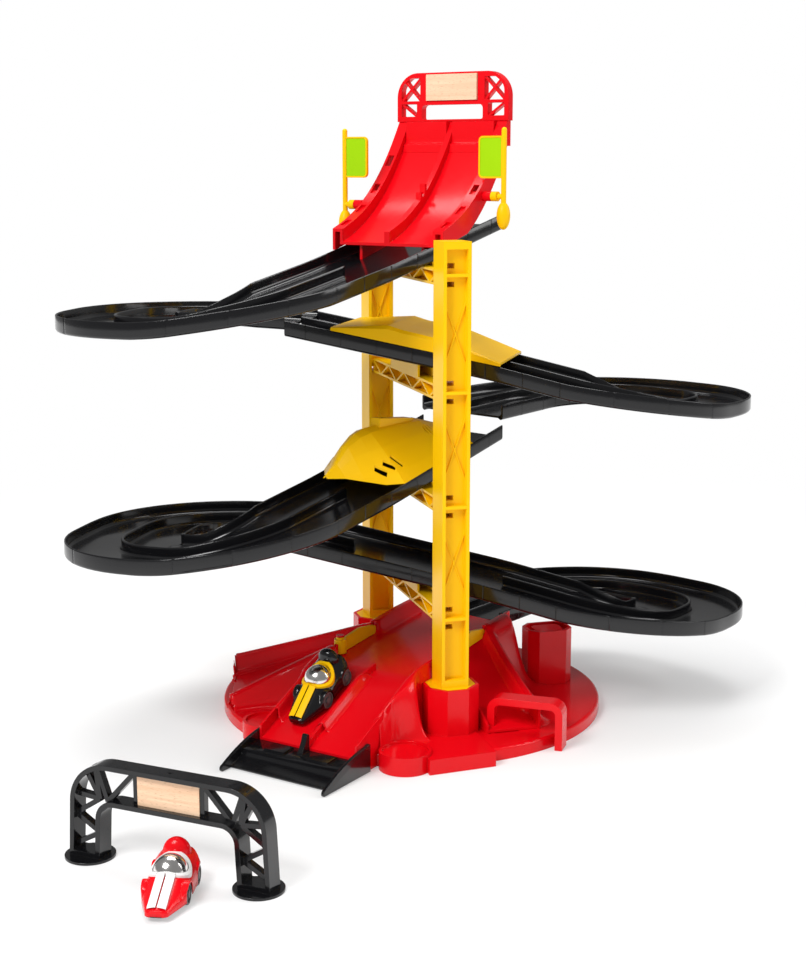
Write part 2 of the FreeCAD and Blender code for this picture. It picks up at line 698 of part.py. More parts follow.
def trough(stations, ridge=None):
    """Open channel on skirts. A station holds both floor corners, wall rises and skirt feet."""
    thick = size("deck_wall")
    rings = []
    for far, near, far_rise, near_rise, far_foot, near_foot in stations:
        inward = Vector(near.x - far.x, near.y - far.y, 0).normalize()
        up = Vector(0, 0, 1)
        ring = [far + up * far_rise, Vector(far.x, far.y, far_foot)]
        ring += [Vector(far.x, far.y, far_foot) + inward * thick, far + inward * thick - up * thick]
        ring += [near - inward * thick - up * thick, Vector(near.x, near.y, near_foot) - inward * thick]
        ring += [Vector(near.x, near.y, near_foot), near + up * near_rise]
        ring += [near - inward * thick + up * near_rise, near - inward * thick]
        if ridge:
            mid, half = (far + near) * 0.5, size("divider_width") / 2
            ring += [mid + inward * half, mid + inward * half + up * ridge]
            ring += [mid - inward * half + up * ridge, mid - inward * half]
        ring += [far + inward * thick, far + inward * thick + up * far_rise]
        rings.append(ring)
    return lofted([list(row) for row in zip(*rings)])


def lane_piece(start, end, left_open, right_open, ridge):
    rise = size("wall_rise")
    count = max(2, int((end - start) / 20) + 1)
    stations = []
    for i in range(count):
        along = start + (end - start) * i / (count - 1)
        floor = deck_floor(along)
        foot = floor - 12 if end <= size("right_gate_start") + 0.1 else 0.0
        stations.append((lane_point(along, -DECK_HALF, floor), lane_point(along, DECK_HALF, floor),
                         0.02 if left_open else rise, 0.02 if right_open else rise, foot, foot))
    return trough(stations, size("ridge_rise") if ridge else None)


def lane_deck():
    marks = [size(n) for n in ("lane_start", "right_gate_start", "gate_start", "right_gate_end",
                               "gate_end", "ridge_start", "lane_end")]
    flags = [(False, False, False), (False, True, False), (True, True, False),
             (True, False, False), (False, False, False), (False, False, True)]
    return [lane_piece(a, b, *f) for a, b, f in zip(marks, marks[1:], flags)]


def gate_posts():
    """Rounded ends of the lane walls where the side channels leave."""
    thick = size("deck_wall")
    posts = []
    for name, side in (("gate_start", -1), ("gate_end", -1), ("right_gate_start", 1)):
        along = size(name)
        foot = lane_point(along, side * (DECK_HALF - thick / 2), deck_floor(along) - thick)
        tall = thick + size("wall_rise") + size("post_proud")
        posts.append(Part.makeCylinder(0.75 * thick, tall, foot))
    return posts


def mix(a, b, f):
    return a + (b - a) * f


def bowed(a, middle, b, count):
    """Points on a gentle bend through three places."""
    points = []
    for i in range(count):
        f = i / (count - 1)
        points.append(mix(mix(a, middle, f), mix(middle, b, f), f))
    return points


def side_channel(mouth_far, mouth_near, bend_far, bend_near, end_far, end_near, rises):
    """Channel that leaves the lanes at a gate and fans out towards the rim."""
    count = 6
    far, near = bowed(mouth_far, bend_far, end_far, count), bowed(mouth_near, bend_near, end_near, count)
    stations = []
    for i, (a, b) in enumerate(zip(far, near)):
        f = i / (count - 1)
        stations.append((a, b, rises[0] + (rises[1] - rises[0]) * f,
                         rises[2] + (rises[3] - rises[2]) * f, 0.0, 0.0))
    return trough(stations)


def left_channel():
    start, end, rim = size("gate_start"), size("gate_end"), size("base_radius") - 2
    out, into = direction(151.0) * rim, direction(182.0) * rim
    return side_channel(
        lane_point(start, -DECK_HALF, deck_floor(start)), lane_point(end, -DECK_HALF, deck_floor(end)),
        point(-92, 62, 40), point(-118, 8, 38), out + point(0, 0, 17), into + point(0, 0, 15),
        (size("wall_rise"), 18, size("wall_rise"), 10))


def right_channel():
    start, end = size("right_gate_start"), size("right_gate_end")
    socket = size("foot_width") / 2 + size("socket_wall")
    level = size("deck_height") + 1
    return side_channel(
        lane_point(end, DECK_HALF, deck_floor(end)), lane_point(start, DECK_HALF, deck_floor(start)),
        point(socket + 4, -104, 36), point(74, -84, 36),
        point(socket + 4, -148, level), point(82, -148, level),
        (0.02, 6, size("wall_rise"), 16))


def disc():
    """Round foot of the base: a skin with a rolled edge, ribbed underneath."""
    radius, height, skin = size("base_radius"), size("base_height"), size("base_skin")
    body = Part.makeCylinder(radius, height)
    top = [e for e in body.Edges if abs(e.BoundBox.ZMin - height) < 1e-6 and e.BoundBox.ZMax > 0]
    body = body.makeFillet(size("base_edge_round"), [e for e in top if e.Length > radius])
    inner = Part.makeCylinder(radius - skin, height - skin)
    body = body.cut(inner)
    count, thick, hub = int(size("base_rib_count")), size("base_rib_thick"), size("base_hub_radius")
    ribs = [Part.makeCylinder(hub, height - 1)]
    for i in range(count):
        rib = Part.makeBox(radius - skin - hub + 2, thick, height - skin - 0.5,
                           point(hub - 1, -thick / 2, 1))
        rib.rotate(Vector(0, 0, 0), Vector(0, 0, 1), 360.0 * (i + 0.5) / count)
        ribs.append(rib)
    return [body] + ribs


def octagon_prism(width, height, base):
    half = width / 2
    near = half - width * 0.2929
    corners = [(half, -near), (half, near), (near, half), (-near, half),
               (-half, near), (-half, -near), (-near, -half), (near, -half)]
    return plate([base + point(x, y) for x, y in corners], Vector(0, 0, height))


def socket(side):
    """Octagonal socket: returns the column and the hollows cut from the base."""
    centre = point(0, side * size("pillar_offset"))
    wall, gap, top = size("socket_wall"), size("seat_gap"), size("socket_top")
    width = size("foot_width")
    column = octagon_prism(width + 2 * (wall + gap), top, centre)
    seat = octagon_prism(width + 2 * gap, size("foot_thick") + 1,
                         centre + point(0, 0, top - size("foot_thick")))
    deep = size("foot_plug")
    plug = Part.makeBox(size("pillar_width") + 2 * gap, size("pillar_depth") + 2 * gap, deep,
                        centre + point(-size("pillar_width") / 2 - gap,
                                       -size("pillar_depth") / 2 - gap, top - deep))
    hollow = octagon_prism(width - 2 * wall, top - deep - wall + 1, centre + point(0, 0, -1))
    hole = Part.makeCylinder(size("screw_radius") + 0.2, 3 * wall,
                             centre + point(0, 0, top - deep - 2 * wall))
    return column, [seat, plug, hollow, hole]


def cup_centre(side):
    return lane_point(size("cup_along"), side * size("cup_across"))


def cups():
    """Round seats for the feet of the arch, one each side of the lanes."""
    adds, cuts = [], []
    height = size("deck_height") + size("cup_rim")
    for side in (-1, 1):
        centre = cup_centre(side)
        adds.append(Part.makeCylinder(size("arch_foot_radius") + size("cup_rim") + 1, height, centre))
        seat = Part.makeCylinder(size("arch_foot_radius") + 1, size("cup_depth") + 1,
                                 centre + point(0, 0, height - size("cup_depth")))
        cuts.append(seat)
        under = Part.makeCylinder(size("arch_foot_radius") + 1 - size("base_skin"),
                                  height - size("cup_depth") - size("base_skin") + 1,
                                  centre + point(0, 0, -1))
        cuts.append(under)
    return adds, cuts


def front_deck():
    """Raised apron in front of the front socket, open underneath."""
    height, skin = size("deck_height"), size("base_skin")
    outer = [point(-44, -120), point(-44, -204), point(20, -199), point(20, -120)]
    inner = [point(-44 + skin, -120), point(-44 + skin, -204 + skin), point(20 - skin, -199 + skin),
             point(20 - skin, -120)]
    return plate(outer, Vector(0, 0, height)).cut(plate(inner, Vector(0, 0, height - skin)))


def base_shape():
    adds, cuts = disc(), []
    adds += lane_deck() + gate_posts() + [left_channel(), right_channel(), front_deck()]
    for side in (-1, 1):
        column, hollows = socket(side)
        adds.append(column)
        cuts += hollows
    cup_adds, cup_cuts = cups()
    under_lanes = lanes_headroom()
    body = fuse(adds + [c.cut(under_lanes) for c in cup_adds])
    cuts += cup_cuts + [entry_notch(), pit_arch_shape(size("seat_gap"))]
    cuts += pad_seats() + switch_seats()
    return body.cut(cuts)


def entry_notch():
    """Room for the lower end of the last moulding, which rests on the entry of the lanes."""
    end = far_run(False)[-1]
    gap = size("seat_gap")
    low = RIMS[3] + rim_height(1, end[3], False) - SIDE_HEIGHT - size("rest_gap")
    notch = Part.makeBox(80, 2 * (HALF_TRACK + gap), 60, point(-80, -HALF_TRACK - gap, low))
    notch.translate(point(gap - size("left_start"), 0))
    return turned(notch, point(0, 0), 180 + size("cross_angle"))


def pad_seats():
    """Room for the soft feet among the ribs under the disc."""
    seats, count = [], int(size("pad_count"))
    for i in range(count):
        spot = direction(360.0 * i / count) * size("pad_ring")
        seats.append(Part.makeCylinder(size("pad_radius") + size("seat_gap"),
                                       size("base_height") - size("base_skin"), spot))
    return seats


def switch_seats():
    """Pin holes in the lane floor and room round the hubs in the walls beside them."""
    seats = []
    for side in (-1, 1):
        along, across = switch_post(side)
        floor = deck_floor(along)
        hole = Part.makeCylinder(size("pin_radius"), 12, point(along, across, floor - 6))
        room = Part.makeCylinder(size("blade_hub") + 2 * size("seat_gap"), 60,
                                 point(along, across, floor + 0.01))
        gate = size("gate_start") if side < 0 else size("right_gate_start")
        path = lofted([[point(gate + 0.01, across + y, deck_floor(gate) + z),
                        point(along, across + y, floor + z)]
                       for y, z in ((-3, 0.02), (3, 0.02), (3, 60), (-3, 60))])
        seats += [along_lanes(hole), along_lanes(room), along_lanes(path)]
    return seats


def lanes_headroom():
    """The open space over the two lanes, kept clear of what stands beside them."""
    inner = DECK_HALF - size("deck_wall")
    samples = [size("ridge_start") + i * 20.0 for i in range(7)]
    rows = []
    for across, lift in ((-inner, 0.0), (inner, 0.0), (inner, 60.0), (-inner, 60.0)):
        rows.append([lane_point(a, across, deck_floor(a) + lift) for a in samples])
    return lofted(rows)


def build_base():
    feature("base_deck", base_shape())


# Small pieces on the base: exit ramp, lane switches and their pins, side post, pit arch

def exit_ramp_shape():
    """Black ramp at the end of the lanes, drawn from the side: -X of the drawing is downhill."""
    gap, end, length = size("seat_gap"), size("lane_end"), size("exit_length")
    level, skin = deck_floor(end), size("ramp_skin")
    tip = end + length
    wide = 2 * (DECK_HALF + gap)
    floor = slab([(end + gap, level, 0), (end + 0.5 * length, level - 5, 12), (tip - 8, 6, 9),
                  (tip, 0, 0), (tip - 5, 0, 0), (tip - 12, 4, 4),
                  (end + 0.45 * length, level - 5 - skin, 10), (end + gap, level - skin, 0)], wide)
    back = end - 18
    cheek = [(back, 0, 0), (back, 25, 4), (end + 4, 24, 30), (end + 0.55 * length, 17, 20),
             (tip + 1, 1.5, 1), (tip + 1, 0, 0)]
    thick = size("exit_cheek")
    fin = [(end + gap, level - 1, 0), (end + gap, level + 13, 1.5), (end + 6, level + 13, 2),
           (end + 14, level - 3, 0), (end + 4, level - 3, 0)]
    shapes = [floor, slab(fin, size("exit_fin"))]
    for side in (-1, 1):
        shapes.append(slab(cheek, thick, side * (wide / 2 + thick / 2) - thick / 2))
        shapes.append(slab([(end + 4, level + 0.2, 0), (end + 24, level - 3.4, 0),
                            (end + 24, level - 5, 0), (end + 4, level - 2, 0)], 26, side * 25 - 13))
    return fuse(shapes)


def along_lanes(shape):
    """Moves a shape drawn along the lanes (x downhill, y across) onto the base."""
    start = point(size("lane_axis_x"), size("lane_axis_y"))
    return turned(shape, start, 180 + size("lane_angle"))


def switch_post(side):
    """Where a lane switch pivots, in the wall line at the lower end of its gate."""
    gate = size("gate_end") if side < 0 else size("right_gate_end")
    along = gate - size("blade_hub") - 2 * size("seat_gap")
    return along, side * (DECK_HALF - size("deck_wall") / 2)


def switch_blade(side):
    """Blade on a hub, pointing up the lane from its pin, with its foot following the floor."""
    along, across = switch_post(side)
    gate = size("gate_start") if side < 0 else size("right_gate_start")
    hub, thick, height = size("blade_hub"), size("blade_thick"), size("blade_height")
    reach = along - gate - 2 * size("seat_gap") - 0.5
    floor, slope = deck_floor(along), size("gate_slope")
    lift = 2 * size("seat_gap")
    low, top = floor + lift, floor + height
    end_low = floor + slope * reach + lift
    heel = 1.5 - hub
    blade = slab([(heel, low + 0.6, 0), (heel, top - 0.5, 0),
                        (-0.55 * reach, top + slope * reach * 0.55, 10),
                  (-reach, end_low + 0.55 * height, 4), (-reach, end_low, 1)], thick)
    disc_hub = Part.makeCylinder(hub, height - lift - 0.6, point(0, 0, low + 0.6))
    cap = Part.makeCylinder(hub - 2, 2, point(0, 0, top))
    bore = Part.makeCylinder(size("pin_radius") + size("running_fit"), height + 10, point(0, 0, low - 1))
    shape = fuse([blade, disc_hub, cap]).cut(bore)
    shape.translate(point(along, across, 0))
    return shape


def switch_pins():
    """Upright pins rooted in the lane floor, each with a flat head over its blade."""
    shapes = []
    for side in (-1, 1):
        along, across = switch_post(side)
        foot = deck_floor(along)
        top = foot + size("blade_height") + 2
        pin = Part.makeCylinder(size("pin_radius"), top + size("seat_gap") - foot + 3, point(0, 0, foot - 3))
        head = Part.makeCylinder(size("blade_hub") - 2, 1.6, point(0, 0, top + size("seat_gap")))
        pair = fuse([pin, head])
        pair.translate(point(along, across, 0))
        shapes.append(pair)
    return Part.makeCompound(shapes)


def build_side_post():
    """Hollow rounded post with a raised block in its recessed top."""
    body = doc.addObject("PartDesign::Body", "side_post")
    half_w, half_d = "sizes.post_width / 2", "sizes.post_depth / 2"
    outline = clipped_rectangle(half_w, half_d, "9")
    sketch = polygon_sketch(body, "post_outline", "XY_Plane", outline,
                            "sizes.base_height")
    pad(body, "post_column", sketch, "sizes.post_top - sizes.base_height")
    wall = "sizes.post_wall"
    inner = clipped_rectangle("(%s - %s)" % (half_w, wall), "(%s - %s)" % (half_d, wall), "8")
    hollow = polygon_sketch(body, "post_inner", "XY_Plane", inner, "sizes.base_height")
    pocket(body, "post_hollow", hollow, "sizes.post_top - sizes.base_height - sizes.post_recess - %s" % wall,
           back=True)
    well = polygon_sketch(body, "post_well", "XY_Plane", inner, "sizes.post_top")
    pocket(body, "post_recess", well, "sizes.post_recess")
    block = clipped_rectangle("(%s - 3 * %s)" % (half_w, wall), "(%s - 2.4 * %s)" % (half_d, wall), "4")
    sketch = polygon_sketch(body, "post_block", "XY_Plane", block, "sizes.post_top - sizes.post_recess")
    pad(body, "post_raised_block", sketch, "sizes.post_recess - 1")
    body.Placement = Placement(point(size("post_x"), size("post_y")), Rotation())
    return keep(body, "side_post")


def clipped_rectangle(half_w, half_d, cut):
    """Formulas for a rectangle with its corners cut off."""
    x, y = "(%s)" % half_w, "(%s)" % half_d
    nx, ny = "(%s - %s)" % (half_w, cut), "(%s - %s)" % (half_d, cut)
    return [(x, "-" + ny), (x, ny), (nx, y), ("-" + nx, y),
            ("-" + x, ny), ("-" + x, "-" + ny), ("-" + nx, "-" + y), (nx, "-" + y)]


def pit_loop(grow, band):
    """Outline of the pit arch, grown all round by a clearance."""
    wide, high, turn = size("pit_width"), size("pit_height"), size("pit_round")
    outer = [(-grow, -grow, 0), (-grow, high + grow, turn + grow),
             (wide + grow, high + grow, turn + grow), (wide + grow, -grow, 0)]
    inset = band + grow
    inner = [(wide - inset, -grow, 0), (wide - inset, high - inset, turn - inset),
             (inset, high - inset, turn - inset), (inset, -grow, 0)]
    return outer + inner


def pit_arch_shape(grow=0.0):
    """Clip-on arch over the side exit: a broad bent band on two feet, with a lip in front."""
    band, depth = size("pit_band"), size("pit_depth")
    arch = slab(pit_loop(grow, band), depth + 2 * grow, -grow)
    lip = slab(pit_loop(grow, band + 2), 2.4 + 2 * grow, -grow)
    arch = fuse([arch, lip])
    return turned(arch, point(size("pit_x"), size("pit_y")), size("pit_angle"))


def build_base_pieces():
    feature("exit_ramp", along_lanes(exit_ramp_shape()))
    feature("switch_left", along_lanes(switch_blade(-1)))
    feature("switch_right", along_lanes(switch_blade(1)))
    feature("switch_pins", along_lanes(switch_pins()))
    build_side_post()
    feature("pit_arch", pit_arch_shape())
    build_pads()
    build_screws()


def build_pads():
    """Soft feet pressed under the rim of the disc."""
    pads = []
    for i in range(int(size("pad_count"))):
        angle = "%.4f" % (360.0 * i / int(size("pad_count")))
        disc_pad = bound("Part::Cylinder", "pad_%d" % i, Radius="sizes.pad_radius",
                         Height="sizes.base_height - sizes.base_skin")
        disc_pad.setExpression("Placement.Base.x", "sizes.pad_ring * cos(%s deg)" % angle)
        disc_pad.setExpression("Placement.Base.y", "sizes.pad_ring * sin(%s deg)" % angle)
        pads.append(disc_pad)
    group = doc.addObject("Part::Compound", "base_pads")
    group.Links = pads
    keep(group, "base_pads")


def build_screws():
    """Screws driven up through the sockets into the two pillars."""
    screws = []
    for name, side in (("front", "-1"), ("back", "1")):
        floor = "sizes.socket_top - sizes.foot_plug - sizes.socket_wall"
        shank = bound("Part::Cylinder", "shank_" + name, Radius="sizes.screw_radius",
                      Height="sizes.screw_length - 2")
        head = bound("Part::Cylinder", "head_" + name, Radius="sizes.screw_head_radius",
                     Height="sizes.screw_head_height")
        for piece, z in ((shank, floor), (head, floor + " - sizes.screw_head_height")):
            piece.setExpression("Placement.Base.y", "%s * sizes.pillar_offset" % side)
            piece.setExpression("Placement.Base.z", z)
        screws.append(joined("screw_" + name, [shank, head]))
    group = doc.addObject("Part::Compound", "base_screws")
    group.Links = screws
    keep(group, "base_screws")


# Start ramp: two lanes on a curve that steepens towards the gantry

RAMP_HEAD = 180 + size("ramp_angle")
RAMP_WIDE = 2 * size("ramp_lane") + size("ramp_divider") + 2 * size("ramp_rail")


def ramp_rail_top(along):
    """Height of the rails at a distance down the ramp from the tower axis."""
    reach = size("ramp_front") + size("ramp_back") - 6
    d = size("ramp_front") - along
    steep = size("ramp_top_slope") * reach / 2.5 * (d / reach) ** 2.5
    return size("ramp_front_level") + size("ramp_front_slope") * d + steep


def ramp_profile():
    """Cross-section of the ramp as (across, below the rail top) corners."""
    outer, rail, skin = RAMP_WIDE / 2, size("ramp_rail"), size("ramp_skin")
    lane, half, deep = outer - rail, size("ramp_divider") / 2, size("ramp_side_depth")
    rise = size("ramp_rail_rise")
    right = [(half, rise), (half, 1.5), (-half, 1.5), (-half, rise)]
    left = [(-lane, rise), (-lane, 0), (-outer, 0), (-outer, deep), (-outer + skin, deep),
            (-outer + skin, skin), (-lane - skin, skin), (-lane - skin, rise + skin)]
    return right + left + [(-x, z) for x, z in reversed(left)]


def ramp_shape():
    front, back = size("ramp_front"), size("ramp_back") - 6
    samples = [-back + (front + back) * i / 9 for i in range(10)]
    rows = []
    for across, below in ramp_profile():
        rows.append([point(a, across, ramp_rail_top(a) - below) for a in samples])
    body = lofted(rows)
    wall = Part.makeBox(6, RAMP_WIDE, size("ramp_side_depth"),
                        point(-size("ramp_back"), -RAMP_WIDE / 2,
                              ramp_rail_top(-back) - size("ramp_side_depth")))
    shapes = [body, wall] + ramp_prongs()
    shape = fuse(shapes).cut(ramp_pockets() + boss_holes())
    shape = turned(shape, point(0, 0), RAMP_HEAD)
    origin, slope = crossing_plane(1, 0)
    return fuse([shape.cut(below_plane(origin, slope))] + ramp_ribs())


def ramp_ribs():
    """Ribs under the lanes, standing on the floor of the uppermost moulding."""
    ribs = []
    start, end = -30.0, size("ramp_front") - 6
    under = size("ramp_rail_rise") + size("ramp_skin") - 0.5
    samples = [start + (end - start) * i / 5 for i in range(6)]
    origin, slope = crossing_plane(1, size("wall_rise"))
    for across in (-35.0, 35.0):
        top = [point(a, across, ramp_rail_top(a) - under) for a in samples]
        outline = top + [point(end, across, origin.z - 40), point(start, across, origin.z - 40)]
        panel = plate(outline, Vector(0, size("ramp_skin"), 0))
        ribs.append(turned(panel, point(0, 0), RAMP_HEAD).cut(below_plane(origin, slope)))
    return ribs


def ramp_pockets():
    """Rectangular pockets let into the tops of both rails, square to their slope."""
    cuts = []
    length, wide = size("pocket_length"), size("ramp_rail") - 2 * size("ramp_skin") + 1
    for across in (-1, 1):
        for along in (-46.0, -21.0, 4.0, 29.0):
            z = ramp_rail_top(along)
            pitch = math.degrees(math.atan2(z - ramp_rail_top(along + 1), 1.0))
            cut = Part.makeBox(length, wide, 8, point(-length / 2, -wide / 2, -size("pocket_depth") + 0.8))
            cut.rotate(Vector(0, 0, 0), Vector(0, 1, 0), pitch)
            cut.translate(point(along, across * (RAMP_WIDE - size("ramp_rail")) / 2, z))
            cuts.append(cut)
    return cuts


def ramp_prongs():
    """Small catch on the divider: two prongs that a release lever would lift."""
    prongs = []
    for i, along in enumerate((-21.0, -14.0)):
        foot = ramp_rail_top(along) - size("ramp_rail_rise")
        high = size("ramp_rail_rise") + 5 - 2 * i
        prongs.append(Part.makeBox(3, size("ramp_divider"), high,
                                   point(along, -size("ramp_divider") / 2, foot)))
    return prongs


FLAGS = {"left": -1, "right": 1}


def flag_axis(name):
    """Side, distance down the ramp and height of a flag's pivot."""
    along = -size(name + "_flag_along")
    return FLAGS[name], along, ramp_rail_top(along) - size(name + "_flag_drop")


def cross_cylinder(radius, inner, outer, side, along, z):
    """Cylinder across the ramp between two distances from its middle."""
    start = point(along, side * inner, z)
    return Part.makeCylinder(radius, outer - inner, start, Vector(0, side, 0))


def boss_holes():
    holes = []
    for name in FLAGS:
        side, along, z = flag_axis(name)
        half = RAMP_WIDE / 2
        holes.append(cross_cylinder(size("pin_radius") + size("running_fit"),
                                    half - size("ramp_skin") - 1, half + 1, side, along, z))
    return holes


def flag_pins():
    """Shouldered pins on the ramp's sides that carry the flags."""
    pins = []
    half, skin = RAMP_WIDE / 2, size("ramp_skin")
    for name in FLAGS:
        side, along, z = flag_axis(name)
        journal = cross_cylinder(size("pin_radius"), half - skin, half + 14.5, side, along, z)
        shoulder = cross_cylinder(size("boss_radius"), half, half + 9, side, along, z)
        pins.append(fuse([journal, shoulder]))
    return Part.makeCompound(pins)


def flag_arm(name):
    """Pole with an egg-shaped counterweight and an eye that turns on its pin."""
    side, along, z = flag_axis(name)
    half, pole = RAMP_WIDE / 2, size("flag_pole") / 2
    reach = half + size("flag_reach")
    eye = cross_cylinder(size("boss_radius"), half + 9.3, half + 15.5, side, along, z)
    arm = cross_cylinder(pole, half + 15, reach, side, along, z)
    top = size("flag_top")
    stem = Part.makeCylinder(pole, top - z + 6, point(along, side * reach, z - 6))
    tip = Part.makeSphere(pole, point(along, side * reach, top))
    egg = Part.makeSphere(size("egg_radius"))
    stretch = FreeCAD.Matrix()
    stretch.scale(1, 1, 2.0)
    egg = egg.transformGeometry(stretch)
    egg.translate(point(along, side * reach, z - size("egg_drop")))
    rims = flag_plate_shape(name, size("plate_rim"), size("plate_thick") + 0.8)
    rims = rims.cut(flag_plate_shape(name, 0.0, size("plate_thick") + 4))
    shape = fuse([arm, stem, tip, egg, eye, rims])
    bore = cross_cylinder(size("pin_radius") + size("running_fit"), half + 8, half + 14.8, side, along, z)
    return turned(shape.cut(bore), point(0, 0), RAMP_HEAD)


def flag_plate_shape(name, grow, thick):
    """Plate beside the pole; the rim is the same outline grown by its width."""
    side, along, _ = flag_axis(name)
    outer = RAMP_WIDE / 2 + size("flag_reach") - size("flag_pole") / 2
    edge = outer + (0.6 if grow else 0.0)
    inner = outer - size("plate_width") - grow
    high = size("flag_top") - size("plate_below_top") + grow
    low = high - size("plate_height") - 2 * grow
    turn = 3.0 + grow
    outline = [(side * edge, low, 0), (side * edge, high, 0),
               (side * inner, high, turn), (side * inner, low, turn)]
    panel = slab(outline, thick)
    return across_ramp(panel, along)


def across_ramp(shape, along):
    """Carries a shape drawn in the XZ plane so that its X runs across the ramp."""
    return turned(shape, point(along, 0), 90)


def build_ramp():
    feature("start_ramp", ramp_shape())
    feature("flag_pins", turned(flag_pins(), point(0, 0), RAMP_HEAD))
    for name in FLAGS:
        feature("flag_arm_" + name, flag_arm(name))
        feature("flag_plate_" + name,
                turned(flag_plate_shape(name, 0.0, size("plate_thick")), point(0, 0), RAMP_HEAD))


# Gantry over the start, with its plain sign

def gantry_shape():
    """Bent frame with crossed corner panels; drawn with its foot at z = 0."""
    half, high, deep = size("gantry_half"), size("gantry_height"), size("gantry_depth")
    turn, band = size("gantry_round"), size("gantry_band")
    outline = [(half, 0, 0), (half, high, turn), (-half, high, turn), (-half, 0, 0)]
    window = [(size("window_half"), 2, 2), (size("window_half"), 2 + size("window_rise") - 1, 4),
              (-size("window_half"), 2 + size("window_rise") - 1, 4), (-size("window_half"), 2, 2)]
    sign = size("sign_width") / 2
    inner, outer = sign + band + 3, half - band
    split = 2 + size("window_rise")
    upper = [(inner, split + 3, 1), (outer, split + 3, 1), (outer, high - band - 8, 12),
             (outer - 10, high - band, 6),
             (inner, high - band, 1)]
    lower = [(inner + 4, 5, 1), (outer, 5, 1), (outer, split, 1), (inner + 4, split, 1)]
    holes = [window] + [upper, lower] + [mirrored(upper), mirrored(lower)]
    frame = slab(outline, deep, holes=holes)
    wide = size("brace_width") + 0.8
    bars = []
    for sign_of in (-1, 1):
        ends = [((inner - 1, split + 2), (outer - 4, high - band - 3)),
                ((outer + 1, split + 2), (inner - 1, high - band + 1)),
                ((inner + 3, 4), (outer + 1, split + 1))]
        for a, b in ends:
            bars.append(rib((sign_of * a[0], a[1]), (sign_of * b[0], b[1]), wide, deep - 2))
    return fuse([frame] + bars).cut(sign_seat(size("seat_gap")))


def sign_seat(gap):
    """Outline of the sign, set into the front of the gantry."""
    half, high, thick = size("sign_width") / 2 + gap, size("sign_height"), size("sign_thick")
    low = size("gantry_height") - high - 1.8 - gap
    depth = size("gantry_depth") / 2
    return Part.makeBox(2 * half, thick, high + 2 * gap, point(-half, -depth - thick / 2, low))


def on_gantry(shape):
    """Sets a shape drawn across the ramp onto the top of its back wall."""
    back = size("ramp_back") - 3
    middle = -direction(size("ramp_angle")) * -back
    level = ramp_rail_top(-size("ramp_back") + 6)
    return turned(shape, middle + point(0, 0, level), size("ramp_angle") - 90)


def build_gantry():
    feature("gantry", on_gantry(gantry_shape()))
    feature("gantry_sign", on_gantry(sign_seat(0.0)))


# Finish arch: an open truss between two bands, standing on round feet

def arch_loop(inset, low):
    """Outline of the arch drawn inwards by an inset, with its feet cut off at a height."""
    foot, top = size("arch_feet") / 2, size("arch_height")
    leg, splay = size("arch_leg") / 2, size("arch_splay")
    bar, turn = top - size("arch_bar_height"), size("arch_round")
    outer = [(foot + leg - inset, low, 0), (foot + leg - splay - inset, top - inset, turn - inset)]
    inner = [(foot - leg - 0.6 * splay + inset, bar + inset, 12 + inset), (foot - leg + inset, low, 0)]
    return outer + mirrored(outer) + mirrored(inner) + inner


def arch_shape():
    band, web, top = size("arch_band"), size("arch_web") + 3, size("arch_height")
    frame = slab(arch_loop(0, size("arch_foot_thick")), size("arch_depth"))
    frame = frame.cut(slab(arch_loop(band, size("arch_foot_thick") + band), size("arch_depth") + 2))
    half_sign, bar = size("arch_sign_width") / 2 + band, top - size("arch_bar_height")
    centre = slab([(half_sign, bar + 1, 0), (half_sign, top - 1, 0), (-half_sign, top - 1, 0),
                   (-half_sign, bar + 1, 0)], web)
    ribs = [rib((side * a[0], a[1]), (side * b[0], b[1]), size("arch_brace"), web)
            for side in (-1, 1) for a, b in arch_ribs()]
    feet = [Part.makeCylinder(size("arch_foot_radius"), size("arch_foot_thick"),
                              point(side * size("arch_feet") / 2, 0)) for side in (-1, 1)]
    hole = Part.makeCylinder(1.6, 5, point(0, 0, top - 3))
    return fuse([frame, centre] + ribs + feet).cut([arch_sign_seat(size("seat_gap")), hole])


def arch_ribs():
    """Zigzag up the leg, a fan at the corner and one brace beside the sign."""
    foot, leg, top = size("arch_feet") / 2, size("arch_leg") / 2, size("arch_height")
    band, splay = size("arch_band"), size("arch_splay")
    out, inn = foot + leg - band / 2, foot - leg + band / 2
    bar = top - size("arch_bar_height") + band / 2
    corner = (inn - splay * 0.5 + 1, bar + 1)
    zigzag = [(out, 9), (inn, 22), (out - 2, 35), corner]
    pairs = list(zip(zigzag, zigzag[1:]))
    turn = size("arch_round") * 0.29
    pairs += [(corner, (out - 4, 52)), (corner, (out - turn - 4, top - turn)), (corner, (inn + 3, top - 3))]
    side = size("arch_sign_width") / 2 + band
    pairs += [((inn - 8, bar), (inn + 2, top - 3)), ((inn - 8, bar), (side - 1, top - 4))]
    return pairs


def arch_sign_seat(gap):
    half, high = size("arch_sign_width") / 2 + gap, size("arch_sign_height") + 2 * gap
    low = size("arch_height") - size("arch_band") - size("arch_sign_height") - 2 - gap
    face = (size("arch_web") + 3) / 2
    return Part.makeBox(2 * half, 2.0, high, point(-half, -face - 0.6, low))


def build_arch():
    spot = point(size("arch_x"), size("arch_y"))
    feature("finish_arch", turned(arch_shape(), spot, size("arch_angle")))
    feature("finish_sign", turned(arch_sign_seat(0.0), spot, size("arch_angle")))


# Covers over the crossings of the second and third mouldings

def crossing_frame(level):
    """Turn that carries shapes drawn down a crossing (x downhill, y across) into place."""
    return 180 + size("cross_angle") if level % 2 else -size("cross_angle")


def rim_at(level, along):
    """Height of the rim at a distance downhill from the tower axis."""
    origin, _ = crossing_plane(level, 0)
    slope = size("left_cross_slope") if level % 2 else size("right_cross_slope")
    return origin.z - slope * along


